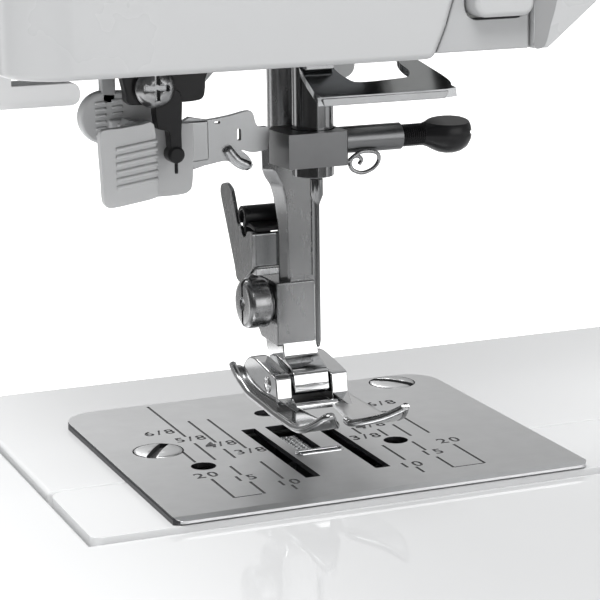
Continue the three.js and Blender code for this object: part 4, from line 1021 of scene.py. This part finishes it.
def make_handwheel_ribs():
    """Grip ribs round the handwheel's rim."""
    wheel = HANDWHEEL
    left, right, reach = wheel["x0"] + 9, wheel["x0"] + 16.5, wheel["radius"] - 0.35
    ribs = []
    for k in range(wheel["ribs"]):
        a = 2 * math.pi * k / wheel["ribs"]
        y, z = wheel["y"] + reach * math.cos(a), wheel["z"] + reach * math.sin(a)
        ribs.append(painted(tube("rib", [(left, y, z), (right, y, z)], 0.9, 10, 1), "panel"))
    finished(crisp(join_pieces("handwheel_ribs", *ribs), 40), "main_shaft", "panel")


def make_rear_details():
    """Cooling slots and cross-head screws in wells on the rear casing; slots and wells are painted shade."""
    parts = []
    for k in range(9):
        slot = round_rect(238, 288, 60 + k * 5, 62 + k * 5, 0.9)
        # each slot is a near-black flush mark: painted shade of the opening
        parts.append(painted(prism("vent", slot, "y", REAR - 0.2, REAR + 0.05), "blackened_steel"))
    for x, z in ((-44, 182), (-44, 72), (120, 182), (298, 182), (298, 12)):
        # a near-black ring round each screw: painted shade of its sunk well
        well = prism("screw_well", ring_outline(x, z, 4.2, 40), "y", REAR - 0.2, REAR + 0.05)
        parts.append(painted(well, "marks_and_painted_shade"))
        head = [(0, 0), (3.1, 0), (3.1, 0.1), (2.4, 0.35), (0, 0.5)]
        parts.append(crisp(painted(turned("screw", head, (x, REAR, z), (0, 1, 0), 40), "steel"), 50))
        # the cross bars are near-black marks: painted shade of the recess
        parts += cross(x, z, 1.7, 0.3, REAR + 0.2, REAR + 0.56, "marks_and_painted_shade")
    finished(join_pieces("rear_details", *parts), "machine_body", "shell")


def make_rubber_feet():
    pads = []
    for x, y in ((144, -86), (294, -84), (-14, 40), (294, 42)):
        pad = [(0, 0), (7.3, 0), (7.8, 0.4), (7.8, 2.6), (0, 2.6)]
        pads.append(crisp(painted(turned("pad", pad, (x, y, -80), (0, 0, 1), 40), "rubber"), 50))
    finished(join_pieces("rubber_feet", *pads), "machine_body", "rubber")


# ---------------------------------------------------------------- stage

def glowing_material(name, tone, roughness, glow):
    """A grey of the given tone; glow is the strength of the white light that it gives off."""
    made = new_material(
        name, (tone, tone, tone), roughness, Emission_Color=(1, 1, 1, 1), Emission_Strength=glow)
    return made[0]


def make_floor():
    """A plain floor that gives off light of its own, so that it stays near white."""
    half = 6.0
    mesh = bpy.data.meshes.new("floor")
    mesh.from_pydata([(x, y, 0) for x, y in box(-half, half, -half, half)], [], [(0, 1, 2, 3)])
    floor = linked("floor", mesh)
    floor.data.materials.append(glowing_material("studio_floor", 0.6, 0.9, 0.8))


def add_area_light(name, place, target, size, power):
    data = bpy.data.lights.new(name, "AREA")
    data.shape, data.size, data.energy = "SQUARE", size, power
    light = linked(name, data)
    light.location = place
    light.rotation_euler = (Vector(target) - Vector(place)).to_track_quat("-Z", "Y").to_euler()


def add_card(name, azimuth, width, tone, low=0.0, high=0.5, glow=0.0):
    """A curved card round the needle that only shiny parts mirror, as a flag beside a product.

    Azimuth and width are in degrees, from the front towards the handwheel's side; low and high
    are heights above the floor in metres.
    """
    centre, radius, steps = at(0, 0, 0), 0.38, 8
    points = []
    for k in range(steps + 1):
        a = math.radians(azimuth + width * (k / steps - 0.5))
        x, y = centre.x + radius * math.sin(a), centre.y - radius * math.cos(a)
        points += [(x, y, low), (x, y, high)]
    faces = [(2 * k, 2 * k + 2, 2 * k + 3, 2 * k + 1) for k in range(steps)]
    mesh = bpy.data.meshes.new(name)
    mesh.from_pydata(points, [], faces)
    card = linked(name, mesh)
    card.data.materials.append(glowing_material(name, tone, 1.0, glow))
    card.visible_camera = False
    card.visible_diffuse = False
    card.visible_shadow = False
    card.visible_transmission = False


def make_light():
    world = bpy.data.worlds.new("studio")
    bpy.context.scene.world = world
    world.use_nodes = True
    sky = world.node_tree.nodes["Background"]
    sky.inputs["Color"].default_value = (1, 1, 1, 1)
    sky.inputs["Strength"].default_value = 0.5
    centre = at(0, 0, 20)
    add_area_light("key", centre + Vector((-0.35, -0.75, 1.2)), centre, size=0.8, power=19)
    add_area_light("rear", centre + Vector((-0.3, 0.9, 1.0)), centre, size=0.8, power=16)
    add_card("left_flag", azimuth=-88, width=76, tone=0.07)
    add_card("front_flag", azimuth=-22, width=56, tone=0.04)
    add_card("right_flag", azimuth=32, width=48, tone=0.2, high=0.084)
    add_card("right_panel", azimuth=24, width=40, tone=0.8, low=0.086, high=0.3, glow=1.2)
    add_card("right_top", azimuth=32, width=48, tone=0.1, low=0.31)
    add_card("rear_flag", azimuth=-158, width=26, tone=0.2)
    add_card("rear_low_flag", azimuth=152, width=50, tone=0.12, high=0.14)
    bpy.context.scene.view_settings.view_transform = "Standard"


make_camera()
make_light()
make_floor()
finish_nodes()
make_presser_foot()
make_ankle()
make_ankle_screw()
make_release_lever()
make_clamp_screw()
make_needle_thread_guide()
make_thread_guide_plate()
make_threader_slider()
make_threader_hook()
make_threader_bracket()
make_cross_head_screw()
make_needle_plate()
make_plate_screws()
make_feed_teeth()
for dial in DIALS:
    make_dial(*dial)
make_control_panel()
make_stitch_chart()
make_handwheel_ribs()
make_rear_details()
make_rubber_feet()
